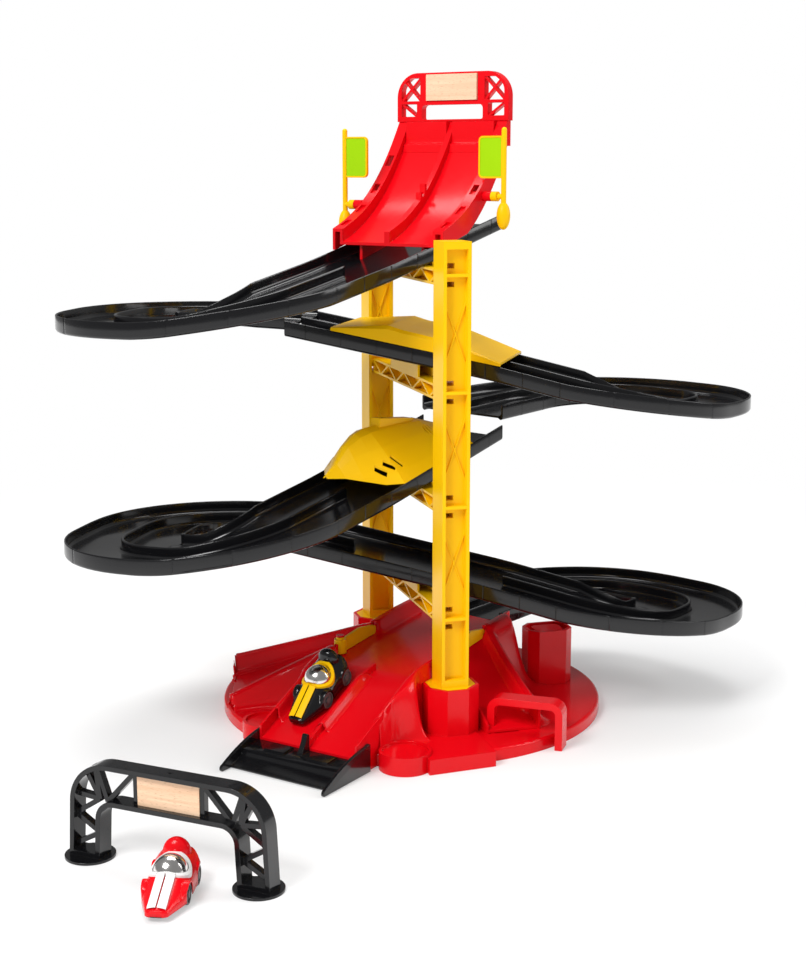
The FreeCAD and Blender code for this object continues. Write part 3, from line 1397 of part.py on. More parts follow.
def hood_rows(level, stations, shape_points, skin):
    """Edge rows of a hood whose stations give distance, half width, eave and crown height."""
    rings = []
    for along, half, eave, crown in stations:
        rim = rim_at(level, along) + size("rest_gap")
        outer = [(half * u, eave + (crown - eave) * v) for u, v in shape_points]
        inner = [((half - skin) * u, eave + (crown - skin - eave) * v) for u, v in shape_points]
        ring = outer + [(-u, v) for u, v in outer[::-1][1:]]
        back = inner + [(-u, v) for u, v in inner[::-1][1:]]
        rings.append([point(along, u, rim + v) for u, v in ring + back[::-1]])
    return [list(row) for row in zip(*rings)]


def shell_shape():
    """Arrow-shaped hood: ridge down the middle, louvres low on both sides, a vent and a wedge on top."""
    curve_points = [(-1, 0), (-0.85, 0.2), (-0.45, 0.66), (-0.18, 0.93), (0, 1)]
    stations = [(-30, 53.5, 0, 15), (0, 53.5, 0, 31), (54, 53.5, 0, 44), (68, 53.5, 0, 46.5),
                (80, 41, 2, 46), (94, 27, 9, 41), (106, 13, 15, 28), (119, 3.5, 19, 22.5)]
    hood = fuse([lofted(hood_rows(3, [a, b], curve_points, size("hood_skin")))
                 for a, b in zip(stations, stations[1:])])
    slots = []
    for side in (-1, 1):
        for along, across in ((62, 37), (71, 36), (79, 33)):
            centre = point(along, side * across, rim_at(3, along) + 3)
            slot = Part.makeBox(3.4, 12, 30, centre - point(1.7, 6))
            slot.rotate(centre, Vector(0, 0, 1), side * 33)
            slots.append(slot)
    vent = Part.makeCylinder(7.5, 26, point(-2, 22, rim_at(3, -2) + 6))
    bars = [Part.makeBox(1.6, 16, 26, point(-6.8 + 4 * i, 14, rim_at(3, -2) + 6)) for i in range(3)]
    top = [point(5, -6, rim_at(3, 5) + 27), point(53, -6, rim_at(3, 53) + 38),
           point(51, -6, rim_at(3, 51) + 50), point(5, -6, rim_at(3, 5) + 33)]
    wedge = plate(top, Vector(0, 12, 0))
    return turned(fuse([hood.cut(slots + [vent.cut(bars)]), wedge]), point(0, 0), crossing_frame(3))


def bridge_shape():
    """Flat-topped faceted roof over the lanes, standing on both rims."""
    curve_points = [(-1, 0), (-0.985, 0.8), (-0.94, 1), (0, 1)]
    stations = [(-66, 53.5, 0, 3.2), (-40, 53.5, 0, 9), (-10, 53.5, 0, 16), (3, 53.5, 0, 14.5),
                (49, 53.5, 0, 13), (79, 53.5, 0, 7), (98, 53.5, 0, 3.2)]
    pieces = [lofted(hood_rows(2, [a, b], curve_points, size("hood_skin")))
              for a, b in zip(stations, stations[1:])]
    return turned(fuse(pieces), point(0, 0), crossing_frame(2))


def build_covers():
    feature("bridge_cover", bridge_shape())
    feature("shell_cover", shell_shape())


# Cars: body, chassis, cockpit ring, stripes, steel ball and two wheel sets

CAR_PLAN = [(0.5, 7, 3), (0.18, 12.5, 6), (0, 17.2, 8), (-0.23, 17.6, 10), (-0.49, 13, 6)]


def plan_slab(outline, low, high):
    """Profile drawn in plan (x, y, radius) and extruded upwards."""
    solid = slab(outline, high - low, 0)
    solid.rotate(Vector(0, 0, 0), Vector(1, 0, 0), 90)
    solid = solid.mirror(Vector(0, 0, 0), Vector(0, 1, 0))
    box = solid.BoundBox
    solid.translate(point(0, 0, low - box.ZMin))
    return solid


def car_outline(inset=0.0):
    length, scale = size("car_length"), size("car_width") / 37.0
    half = [(length * x - (inset if x > 0 else -inset), y * scale - inset, r) for x, y, r in CAR_PLAN]
    return half + [(x, -y, r) for x, y, r in reversed(half)]


def barrel(grow, start, end):
    """Rounded back of the car between two distances, with its top line through the bonnet's knee."""
    radius, knee = size("car_camber") + grow, size("bonnet_knee")
    fall = size("cockpit_slope") if end <= knee else size("bonnet_slope")
    along = Vector(1, 0, -fall).normalize()
    middle = point(knee, 0, size("bonnet_height") - size("car_camber"))
    tube = Part.makeCylinder(radius, 240, middle - along * 120, along)
    return tube.common(Part.makeBox(end - start, 80, 60, point(start, -40, 0)))


def car_shell(grow):
    knee = size("bonnet_knee")
    return [barrel(grow, -60, knee), barrel(grow, knee, 60)]


def fender(x, radius):
    """Rounded cover over a pair of wheels, one lobe each side."""
    lobes = []
    inner, outer = size("wheel_side") - size("wheel_width") / 2 - 2, size("car_width") / 2
    for side in (-1, 1):
        lobe = Part.makeCylinder(radius, outer - inner, point(x, side * inner, size("wheel_radius")),
                                 Vector(0, side, 0))
        rim = [e for e in lobe.Edges if abs(abs(e.CenterOfMass.y) - outer) < 0.01]
        lobe = lobe.makeFillet(size("fender_round"), rim)
        above = Part.makeBox(8 * radius, 4 * outer, 4 * radius,
                             point(x - 4 * radius, -2 * outer, size("car_floor")))
        lobes.append(lobe.common(above))
    return lobes


def wheel_wells():
    """Room for the wheels and for the blocks of the chassis."""
    cuts, wide = [], size("car_width")
    near = size("wheel_side") - size("wheel_width") / 2 - 0.8
    for x in (size("front_axle"), size("rear_axle")):
        for side in (-1, 1):
            cuts.append(Part.makeCylinder(size("wheel_radius") + 1, wide / 2,
                                          point(x, side * near, size("wheel_radius")),
                                          Vector(0, side, 0)))
        cuts.append(Part.makeBox(8, wide, 7, point(x - 4, -wide / 2, 5)))
    return cuts


def car_body():
    low = size("car_floor")
    shell = fuse([part.common(plan_slab(car_outline(), low, 45)) for part in car_shell(0)])
    lobes = fender(size("front_axle"), size("wheel_radius") + 2.8)
    lobes += fender(size("rear_axle"), size("wheel_radius") + 5.2)
    head = Part.makeSphere(size("head_radius"), point(size("head_x"), 0, size("head_height")))
    head = head.common(Part.makeBox(60, 60, 60, point(size("head_x") - 54.5, -30, low)))
    under = Part.makeBox(100, 60, 20, point(-50, -30, low - 20))
    body = fuse([shell, head] + lobes).cut(under)
    ball = ball_centre()
    neck = Part.makeCylinder(0.62 * size("ball_radius"), 12, point(ball.x, 0, 0))
    cuts = [Part.makeSphere(size("ball_radius") + size("car_running_gap"), ball), neck, ring_solid()]
    return single(body.cut(cuts + wheel_wells()))


def ball_centre():
    return point(size("ball_x"), 0, size("ball_height"))


def car_chassis():
    """Floor plate with two blocks that the axles run through."""
    low = size("car_floor") - 2.2
    blocks, cuts = [plan_slab(car_outline(1.5), low, size("car_floor"))], []
    axle = size("axle_radius") + size("running_fit")
    near = size("wheel_side") - size("wheel_width") / 2
    for x in (size("front_axle"), size("rear_axle")):
        blocks.append(Part.makeBox(7.4, 2 * near - 2.4, 7, point(x - 3.7, 1.2 - near, 4.5)))
        cuts.append(Part.makeCylinder(axle, 60, point(x, -30, size("wheel_radius")), Vector(0, 1, 0)))
        for side in (-1, 1):
            cuts.append(Part.makeCylinder(size("wheel_radius") + 1, 14,
                                          point(x, side * (near - 0.8), size("wheel_radius")),
                                          Vector(0, side, 0)))
    cuts.append(Part.makeSphere(size("ball_radius") + size("car_running_gap"), ball_centre()))
    return single(fuse(blocks).cut(cuts))


def ring_solid():
    """Raised surround of the cockpit, draped over the car's rounded back and cut straight in front."""
    ball, radius = ball_centre(), size("ball_radius") + size("ring_width")
    hoop = Part.makeCylinder(radius, 60, point(ball.x, 0, 0))
    hoop = hoop.common(Part.makeBox(60, 60, 60, point(ball.x + radius - 1.5 - 60, -30, 0)))
    band = fuse([part.common(hoop) for part in car_shell(size("ring_proud"))])
    return band.cut([part for part in car_shell(size("ring_proud") - size("ring_height"))])


def car_ring():
    hole = Part.makeSphere(size("ball_radius") + size("car_running_gap"), ball_centre())
    inner = Part.makeCylinder(size("ball_radius") - 0.8, 80, point(ball_centre().x, 0, 0))
    return single(ring_solid().cut([hole, inner]))


def car_stripes():
    """Two thin stripes on the bonnet, from the ring to the nose."""
    start = ball_centre().x + size("ball_radius") + size("ring_width") - 1.4
    start, end = max(start, size("bonnet_knee") + 0.1), 0.475 * size("car_length")
    thick, wide, gap = 0.5, size("stripe_width"), size("stripe_gap") / 2
    skin = barrel(thick, size("bonnet_knee"), 60).cut(barrel(0, size("bonnet_knee"), 60))
    strips = []
    for y in (gap, -gap - wide):
        strips.append(skin.common(Part.makeBox(end - start, wide, 60, point(start, y, 0))))
    return Part.makeCompound(strips)


def build_wheels(node, placement, x):
    """Two wheels on their axle, turned from one profile."""
    body = doc.addObject("PartDesign::Body", node)
    axle, radius = "sizes.axle_radius", "sizes.wheel_radius"
    inner = "(sizes.wheel_side - sizes.wheel_width / 2)"
    outer = "(sizes.wheel_side + sizes.wheel_width / 2)"
    face = "(%s - 1.2)" % outer
    hub, rim = "(sizes.axle_radius + 1.4)", "(sizes.wheel_radius - 1.6)"
    right = [(axle, inner), ("(%s - 0.6)" % radius, inner), (radius, "(%s + 0.6)" % inner),
             (radius, "(%s - 0.6)" % outer), ("(%s - 0.6)" % radius, outer), (rim, outer), (rim, face),
             (hub, face), (hub, "(%s + 0.2)" % outer), ("0", "(%s + 0.2)" % outer)]
    left = [(r, "-" + y) for r, y in reversed(right)]
    sketch = polygon_sketch(body, node + "_profile", "XY_Plane", left + right)
    turn = body.newObject("PartDesign::Revolution", node + "_turned")
    turn.Profile = sketch
    turn.ReferenceAxis = (sketch, ["V_Axis"])
    turn.Angle = 360
    sketch.Visibility = False
    body.Placement = placement.multiply(Placement(point(x, 0, size("wheel_radius")), Rotation()))
    return keep(body, node)


def build_car(prefix, placement):
    for name, maker in (("body", car_body), ("chassis", car_chassis), ("ring", car_ring),
                        ("stripes", car_stripes)):
        feature("%s_car_%s" % (prefix, name), maker(), placement)
    ball = bound("Part::Sphere", prefix + "_ball", Radius="sizes.ball_radius")
    ball.Placement = placement.multiply(Placement(ball_centre(), Rotation()))
    keep(ball, prefix + "_car_ball")
    for name in ("front", "rear"):
        build_wheels("%s_car_wheels_%s" % (prefix, name), placement, size(name + "_axle"))


def build_cars():
    along = size("black_car_along")
    lane = lane_point(along, -(size("lane_width") / 2 + 1), deck_floor(along))
    pitch = math.degrees(math.atan(size("exit_slope")))
    down = Rotation(Vector(0, 1, 0), pitch)
    heading = Rotation(Vector(0, 0, 1), 180 + size("lane_angle"))
    lift = Placement(lane + point(0, 0, size("seat_gap") / math.cos(math.radians(pitch))),
                     heading.multiply(down))
    build_car("black", lift)
    ground = point(size("red_car_x"), size("red_car_y"))
    build_car("red", Placement(ground, Rotation(Vector(0, 0, 1), size("red_car_angle"))))


build_tracks()
build_pillar("pillar_front", "-1")
build_pillar("pillar_back", "1")
build_brackets()
build_base()
build_base_pieces()
build_ramp()
build_gantry()
build_arch()
build_covers()
build_cars()
doc.recompute()

# Every object has to be sound before anything is written
for obj in doc.Objects:
    if "Invalid" in obj.State or "Error" in obj.State:
        raise RuntimeError("object %s failed: %s" % (obj.Name, obj.State))
for node, obj in finished:
    if obj.Shape.isNull() or not obj.Shape.isValid():
        raise RuntimeError("shape of %s is not valid" % node)
for node, obj in finished:
    obj.Shape.exportStep("parts/%s.step" % node)
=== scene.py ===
# %% [markdown]
# A toy race tower, dressed for a studio photograph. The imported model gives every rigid
# part of the toy in metres, already in its place. This script adds what a camera sees on
# top of that: finishes for the moulded plastic, the bare wood and the polished balls, and
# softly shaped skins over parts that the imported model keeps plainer.

# %% Load the frame
import bpy
import bmesh
import json
import math
import numpy as np
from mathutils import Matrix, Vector


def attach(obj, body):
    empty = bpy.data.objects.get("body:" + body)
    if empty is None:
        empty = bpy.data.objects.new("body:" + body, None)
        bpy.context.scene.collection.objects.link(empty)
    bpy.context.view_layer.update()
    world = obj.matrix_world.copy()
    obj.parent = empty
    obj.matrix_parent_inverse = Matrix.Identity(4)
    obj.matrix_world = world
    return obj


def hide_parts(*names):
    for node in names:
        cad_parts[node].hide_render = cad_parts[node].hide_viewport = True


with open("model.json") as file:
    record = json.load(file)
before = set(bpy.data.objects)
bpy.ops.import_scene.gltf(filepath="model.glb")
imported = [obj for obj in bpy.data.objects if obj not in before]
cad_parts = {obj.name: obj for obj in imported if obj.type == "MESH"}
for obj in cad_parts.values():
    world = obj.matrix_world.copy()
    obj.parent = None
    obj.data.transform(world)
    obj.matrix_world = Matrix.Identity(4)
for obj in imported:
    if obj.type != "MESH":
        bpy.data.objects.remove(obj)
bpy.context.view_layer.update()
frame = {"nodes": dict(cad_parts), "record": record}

# %% [markdown]
# The camera stands where the photographer stood: about 0.2 m above the middle of the tower,
# a metre and a half in front of it and half a metre to its left. The lens length follows
# from how fast the far loops shrink against the near ones.

# %% Camera
eye = Vector((-0.45574, -1.52307, 0.53469))
heading, tilt_down = math.radians(16.35), math.radians(10.96)
focal_pixels, picture_height, sensor = 1643.4, 960.0, 36.0
camera_data = bpy.data.cameras.new("studio_camera")
camera_data.sensor_width = sensor
camera_data.lens = focal_pixels * sensor / picture_height
camera_data.clip_start, camera_data.clip_end = 0.05, 50.0
camera = bpy.data.objects.new("studio_camera", camera_data)
camera.location = eye
camera.rotation_euler = (math.pi / 2 - tilt_down, 0.0, -heading)
bpy.context.scene.collection.objects.link(camera)
bpy.context.scene.camera = camera
bpy.context.scene.view_settings.view_transform = "Standard"
print("lens", round(camera_data.lens, 2), "mm")

# %% [markdown]
# A material is a small graph of nodes. The helper below adds a node and joins its inputs
# in one call, which keeps the recipes further down short enough to read.


# %% Node helpers
def add_node(tree, kind, settings=None, **inputs):
    """Adds a node; settings are its own properties, inputs are values or sockets to join."""
    node = tree.nodes.new(kind)
    for key, value in (settings or {}).items():
        setattr(node, key, value)
    for key, value in inputs.items():
        numbered = key[0] == "i" and key[1:].isdigit()
        socket = node.inputs[int(key[1:]) if numbered else key.replace("_", " ")]
        if isinstance(value, bpy.types.NodeSocket):
            tree.links.new(value, socket)
        else:
            socket.default_value = value
    return node


def ramp(tree, factor, stops):
    """Turns a value into a colour along a few stops of (place, colour)."""
    node = tree.nodes.new("ShaderNodeValToRGB")
    tree.links.new(factor, node.inputs["Fac"])
    band = node.color_ramp.elements
    while len(band) < len(stops):
        band.new(0.5)
    for element, (place, colour) in zip(band, stops):
        element.position = place
        element.color = tuple(colour) + (1.0,)
    return node.outputs["Color"]


def spread(tree, factor, low, high, start=0.0, end=1.0):
    """Moves a value from the span start to end onto the span low to high."""
    node = add_node(tree, "ShaderNodeMapRange", i0=factor, i1=start, i2=end, i3=low, i4=high)
    return node.outputs[0]


# %% [markdown]
# Moulded toy plastic is never quite a mirror. The steel tool leaves a faint ripple like
# orange peel, handling leaves soft smears that are a touch duller, and every edge has a
# tiny radius that catches the light. All three, and a few specks of dust on level faces, are
# worked out once, in a node group that each plastic then uses with its own amounts. The
# rounded edge comes from the Bevel node, which bends the shading near an edge without
# touching the geometry.


# %% Shared finish: moulded skin
def moulded_skin():
    """Group that gives roughness, normal and dust from amounts of ripple, smear, gloss and edge."""
    group = bpy.data.node_groups.new("moulded_skin", "ShaderNodeTree")
    face = group.interface
    for name, value in (("Ripple", 0.1), ("Smear", 0.1), ("Gloss", 0.2), ("Edge", 0.0006)):
        socket = face.new_socket(name, in_out="INPUT", socket_type="NodeSocketFloat")
        socket.default_value = value
    face.new_socket("Roughness", in_out="OUTPUT", socket_type="NodeSocketFloat")
    face.new_socket("Normal", in_out="OUTPUT", socket_type="NodeSocketVector")
    face.new_socket("Dust", in_out="OUTPUT", socket_type="NodeSocketFloat")
    entry, leave = group.nodes.new("NodeGroupInput"), group.nodes.new("NodeGroupOutput")
    place = add_node(group, "ShaderNodeTexCoord").outputs["Object"]
    peel = add_node(group, "ShaderNodeTexNoise", Vector=place, Scale=420.0, Detail=2.0)
    sink = add_node(group, "ShaderNodeTexNoise", Vector=place, Scale=14.0, Detail=0.0)
    both = add_node(group, "ShaderNodeMath", {"operation": "MULTIPLY_ADD"},
                    i0=sink.outputs["Fac"], i1=3.0, i2=peel.outputs["Fac"])
    round_edge = add_node(group, "ShaderNodeBevel", {"samples": 4}, Radius=entry.outputs["Edge"])
    bump = add_node(group, "ShaderNodeBump", Strength=entry.outputs["Ripple"], Distance=0.00012,
                    Height=both.outputs[0], Normal=round_edge.outputs[0])
    group.links.new(bump.outputs[0], leave.inputs["Normal"])
    marks = add_node(group, "ShaderNodeTexNoise", Vector=place, Scale=24.0, Detail=3.0, Roughness=0.6)
    patch = spread(group, marks.outputs["Fac"], 0.0, 1.0, 0.42, 0.72)
    rough = add_node(group, "ShaderNodeMath", {"operation": "MULTIPLY_ADD"},
                     i0=patch, i1=entry.outputs["Smear"], i2=entry.outputs["Gloss"])
    group.links.new(rough.outputs[0], leave.inputs["Roughness"])
    facing = add_node(group, "ShaderNodeNewGeometry").outputs["Normal"]
    upward = add_node(group, "ShaderNodeSeparateXYZ", i0=facing)
    specks = add_node(group, "ShaderNodeTexVoronoi", Vector=place, Scale=230.0)
    dots = spread(group, specks.outputs["Distance"], 1.0, 0.0, 0.02, 0.06)
    lying = spread(group, upward.outputs["Z"], 0.0, 0.35, 0.6, 0.98)
    dust = add_node(group, "ShaderNodeMath", {"operation": "MULTIPLY"}, i0=dots, i1=lying)
    group.links.new(dust.outputs[0], leave.inputs["Dust"])
    return group


skin_group = moulded_skin()
print("shared finish of", len(skin_group.nodes), "nodes")


# %% [markdown]
# The plastics differ in colour, in how shiny the tool left them and in how much they
# mirror the white room: red, yellow and green mirror less, which keeps their colour deep.


# %% Plastics
def plastic(name, colour, shade, gloss=0.2, smear=0.06, ripple=0.06, shine=0.5):
    """Glossy moulded plastic between two close tones of one colour."""
    material = bpy.data.materials.new(name)
    material.use_nodes = True
    tree = material.node_tree
    tree.nodes.clear()
    finish = tree.nodes.new("ShaderNodeGroup")
    finish.node_tree = skin_group
    finish.inputs["Ripple"].default_value = ripple
    finish.inputs["Smear"].default_value = smear
    finish.inputs["Gloss"].default_value = gloss
    place = add_node(tree, "ShaderNodeTexCoord").outputs["Object"]
    flow = add_node(tree, "ShaderNodeTexNoise", Vector=place, Scale=9.0, Detail=2.0)
    tone = ramp(tree, flow.outputs["Fac"], [(0.3, shade), (0.7, colour)])
    dusty = add_node(tree, "ShaderNodeMix", {"data_type": "RGBA"}, i0=finish.outputs["Dust"], i6=tone,
                     i7=tuple(min(1.0, c * 1.25 + 0.02) for c in colour) + (1.0,))
    body = add_node(tree, "ShaderNodeBsdfPrincipled", Base_Color=dusty.outputs[2],
                    Roughness=finish.outputs["Roughness"], Normal=finish.outputs["Normal"])
    body.inputs["IOR"].default_value = 1.5
    body.inputs["Specular IOR Level"].default_value = shine
    add_node(tree, "ShaderNodeOutputMaterial", Surface=body.outputs[0])
    return material


red = plastic("red_plastic", (0.80, 0.002, 0.008), (0.76, 0.002, 0.007),
              gloss=0.17, smear=0.05, shine=0.27)
black = plastic("black_plastic", (0.006, 0.006, 0.007), (0.005, 0.005, 0.006), gloss=0.13, smear=0.05)
yellow = plastic("yellow_plastic", (0.98, 0.58, 0.002), (0.96, 0.55, 0.002),
                 gloss=0.30, smear=0.05, shine=0.14)
green = plastic("green_plastic", (0.36, 0.68, 0.002), (0.33, 0.64, 0.002), gloss=0.30, shine=0.15)
white = plastic("white_plastic", (0.88, 0.88, 0.87), (0.84, 0.84, 0.83), gloss=0.25)
grey = plastic("grey_plastic", (0.13, 0.13, 0.135), (0.10, 0.10, 0.105), gloss=0.45)
rubber = plastic("soft_rubber", (0.03, 0.03, 0.03), (0.02, 0.02, 0.02), gloss=0.7, ripple=0.3)
print("plastics", [material.name for material in (red, black, yellow, green, white, grey, rubber)])


# %% Metals
def metal(name, colour, gloss, scratch):
    """Bright metal with fine scuffs that only show in its reflections."""
    material = bpy.data.materials.new(name)
    material.use_nodes = True
    tree = material.node_tree
    tree.nodes.clear()
    place = add_node(tree, "ShaderNodeTexCoord").outputs["Object"]
    scuff = add_node(tree, "ShaderNodeTexNoise", Vector=place, Scale=160.0, Detail=4.0, Distortion=1.5)
    rough = spread(tree, scuff.outputs["Fac"], gloss, gloss + scratch, 0.45, 0.75)
    body = add_node(tree, "ShaderNodeBsdfPrincipled", Roughness=rough)
    body.inputs["Base Color"].default_value = colour + (1.0,)
    body.inputs["Metallic"].default_value = 1.0
    add_node(tree, "ShaderNodeOutputMaterial", Surface=body.outputs[0])
    return material


polished = metal("polished_steel", (0.86, 0.84, 0.82), 0.16, 0.05)
steel = metal("plain_steel", (0.55, 0.55, 0.56), 0.25, 0.15)
print("metals", polished.name, steel.name)


# %% [markdown]
# The two sign plates are planed beech. Its grain runs along the plate in close pale lines,
# with many short darker flecks, so one noise is stretched a lot and a second one is broken
# into dashes.


# %% Beech
def beech(name, along):
    """Pale planed wood whose grain follows the direction along."""
    material = bpy.data.materials.new(name)
    material.use_nodes = True
    tree = material.node_tree
    tree.nodes.clear()
    place = add_node(tree, "ShaderNodeTexCoord").outputs["Object"]
    turned = add_node(tree, "ShaderNodeMapping", {"vector_type": "POINT"}, Vector=place)
    turned.inputs["Rotation"].default_value = (0.0, 0.0, -along)
    lines = add_node(tree, "ShaderNodeVectorMath", {"operation": "MULTIPLY"}, i0=turned.outputs[0])
    lines.inputs[1].default_value = (14.0, 120.0, 420.0)
    grain = add_node(tree, "ShaderNodeTexNoise", Vector=lines.outputs[0], Scale=1.0, Detail=4.0)
    dashes = add_node(tree, "ShaderNodeVectorMath", {"operation": "MULTIPLY"}, i0=turned.outputs[0])
    dashes.inputs[1].default_value = (240.0, 900.0, 1500.0)
    fleck = add_node(tree, "ShaderNodeTexNoise", Vector=dashes.outputs[0], Scale=1.0, Detail=1.0)
    base = ramp(tree, grain.outputs["Fac"], [(0.3, (0.80, 0.50, 0.31)), (0.72, (0.93, 0.66, 0.45))])
    mask = spread(tree, fleck.outputs["Fac"], 0.0, 0.55, 0.62, 0.70)
    tone = add_node(tree, "ShaderNodeMix", {"data_type": "RGBA"},
                    i0=mask, i6=base, i7=(0.42, 0.24, 0.12, 1.0))
    bump = add_node(tree, "ShaderNodeBump", Strength=0.35, Distance=0.0001, Height=grain.outputs["Fac"])
    rough = spread(tree, grain.outputs["Fac"], 0.45, 0.62)
    body = add_node(tree, "ShaderNodeBsdfPrincipled", Base_Color=tone.outputs[2], Roughness=rough,
                    Normal=bump.outputs[0])
    add_node(tree, "ShaderNodeOutputMaterial", Surface=body.outputs[0])
    return material


gantry_wood = beech("pale_wood", math.radians(-50.0))
arch_wood = beech("pale_wood_low", math.radians(-40.7))
print("woods", gantry_wood.name, arch_wood.name)


# %% Dress the construction nodes
finishes = {"red_plastic": red, "black_plastic": black, "yellow_plastic": yellow, "green_plastic": green,
            "white_plastic": white, "grey_plastic": grey, "soft_rubber": rubber, "steel": steel,
            "polished_steel": polished, "pale_wood": gantry_wood}
own = {"finish_sign": arch_wood}
slot_of = {part["node"]: part["material_slot"] for part in frame["record"]["subparts"]}
for name, node in frame["nodes"].items():
    node.data.materials.clear()
    node.data.materials.append(own.get(name, finishes[slot_of[name]]))
print("dressed", len(slot_of), "nodes")

# %% [markdown]
# New pieces are surfaces worked out with numpy. A ring of points is carried along a path,
# neighbouring rings are joined with quads, and a flat face closes each end. Edges sharper
# than a piece's crisp angle, mostly thirty degrees, stay sharp; all others are smooth.


# %% Surface helpers
def closed_loft(rings):
    """Skin over rings (count, points, 3): quads from ring to ring, one flat face at each end."""
    count, around, _ = rings.shape
    i, j = np.meshgrid(np.arange(count - 1), np.arange(around), indexing="ij")
    a, b = i * around + j, i * around + (j + 1) % around
    quads = np.stack([a, b, b + around, a + around], axis=-1).reshape(-1, 4)
    ends = [list(range(around)), list(range((count - 1) * around, count * around))]
    return rings.reshape(-1, 3), quads.tolist() + ends


def arc(centre, radius, start, end, steps=5):
    """Points on a circle between two angles in degrees: centre plus radius times (cos, sin)."""
    angle = np.radians(np.linspace(start, end, steps))
    return np.stack([centre[0] + radius * np.cos(angle), centre[1] + radius * np.sin(angle)], axis=1)


def make_piece(name, body, material, shells, replaced=(), crisp=30.0):
    """Joins closed shells, given in millimetres, into one object that rides on a body."""
    points, faces, start = [], [], 0
    for shell_points, shell_faces in shells:
        points.append(shell_points)
        faces += [[index + start for index in face] for face in shell_faces]
        start += len(shell_points)
    mesh = bpy.data.meshes.new(name)
    mesh.from_pydata(np.concatenate(points) / 1000.0, [], faces)
    sculpt = bmesh.new()
    sculpt.from_mesh(mesh)
    bmesh.ops.recalc_face_normals(sculpt, faces=sculpt.faces)
    sculpt.to_mesh(mesh)
    sculpt.free()
    mesh.shade_smooth()
    mesh.set_sharp_from_angle(angle=math.radians(crisp))
    mesh.materials.append(material)
    piece = bpy.data.objects.new(name, mesh)
    bpy.context.scene.collection.objects.link(piece)
    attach(piece, body)
    if replaced:
        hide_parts(*replaced)
    print(name, len(mesh.polygons), "faces")


# %% [markdown]
# Each black track is one moulding with two lanes. Its centre line leaves the far end of the
# loop on a small arc, runs straight, and bends back to cross the tower. The real walls have
# rounded rims, a rounded lower edge, a soft corner where wall meets floor, and fine seams
# every few centimetres. Carrying a rounded section along the same line gives all of that.


# %% Track centre line
tip_radius = 43.0
near_flare, far_flare = 36.7, 60.0
crossing_turn = 31.0
loop_slope, return_slope = 0.224, 0.04
short_run, long_run = 75.0, 112.0


def centre_legs(side, legs):
    """Table of x, y, heading and distance; on a leg of length L that turns by A, the radius is
    L / A, x grows by radius times the loss of cosine and y by radius times the gain of sine."""
    x, y, turn, far = -287.0, -27.0, 0.0, 0.0
    tables = []
    for length, sweep in legs:
        s = np.linspace(0.0, length, max(3, int(length * 2)))
        t = turn + sweep * s / length
        if sweep:
            across = (length / sweep) * (math.cos(turn) - np.cos(t))
            along = (length / sweep) * (np.sin(t) - math.sin(turn))
        else:
            across, along = s * math.sin(turn), s * math.cos(turn)
        tables.append(np.stack([x + across, y + side * along, t, far + s], axis=1))
        x, y, turn, far = tables[-1][-1]
    return np.concatenate(tables)


def half_loop(side, flare, radius, beyond):
    """Tip arc, a straight leg solved so that the last leg passes the tower axis, and a bend."""
    first, bend = math.pi / 2 - math.radians(flare), math.radians(flare + crossing_turn)
    x, y, turn, _ = centre_legs(side, [(tip_radius * first, first), (radius * bend, bend)])[-1]
    straight = (x * math.cos(turn) - side * y * math.sin(turn)) / math.sin(bend)
    legs = [(tip_radius * first, first), (straight, 0.0), (radius * bend, bend)]
    x, y, _, _ = centre_legs(side, legs)[-1]
    return centre_legs(side, legs + [(math.hypot(x, y) + beyond, 0.0)])


def slope_in(distance, start, end):
    """Height of a slope that grows from nothing to one between two distances."""
    middle = np.clip(distance, start, end) - start
    return middle ** 2 / (2.0 * (end - start)) + np.maximum(distance - end, 0.0)


# %% Line of one moulding
class TrackLine:
    """Centre line of one moulding; negative distances climb to the crossing above, positive
    ones lead down to the crossing below."""

    def __init__(self, left):
        self.left = left
        upper, lower = (short_run, long_run) if left else (long_run, short_run)
        self.near = half_loop(-1, near_flare, 100.0, upper)
        self.far = half_loop(1, far_flare, 97.0, 0.0)
        self.crossing = self.near[-1, 3] - upper
        self.top, self.bottom = -self.near[-1, 3], self.far[-1, 3] - lower
        self.cross_slope = 0.27 if left else 0.18

    def place(self, u, offset, drop):
        """Points beside the line: offset outwards in plan, dropped below the rim, in millimetres."""
        s, side = np.abs(u), np.where(u < 0, -1.0, 1.0)
        x, y, turn = (np.where(u < 0, np.interp(s, self.near[:, 3], self.near[:, k]),
                               np.interp(s, self.far[:, 3], self.far[:, k])) for k in range(3))
        steepen = (self.cross_slope - loop_slope) * slope_in(s, 245, 275)
        climb = loop_slope * slope_in(s, 52, 85) + steepen
        lower = -return_slope * slope_in(s, 45, 75)
        rim = np.where(u < 0, climb, lower)
        px = x[:, None] - np.cos(turn)[:, None] * offset
        py = y[:, None] + (side * np.sin(turn))[:, None] * offset
        return np.stack([px if self.left else -px, py, rim[:, None] - drop], axis=-1)


# %% Seams
def stations(start, end, seams=()):
    """Distances every 4 mm between two ends, with four more at each seam for its groove."""
    rows = [np.linspace(start, end, max(2, int((end - start) / 4.0)))]
    rows += [seam + np.array([-0.5, -0.18, 0.18, 0.5]) for seam in seams if start + 3 < seam < end - 3]
    return np.unique(np.concatenate(rows))


def grooves(u, seams, depth=0.4):
    """How deep the fine seam lines cut at each distance."""
    if not len(seams):
        return np.zeros_like(u)
    gap = np.min(np.abs(u[:, None] - np.asarray(seams)[None, :]), axis=1)
    return depth * np.clip((0.5 - gap) / 0.32, 0.0, 1.0)


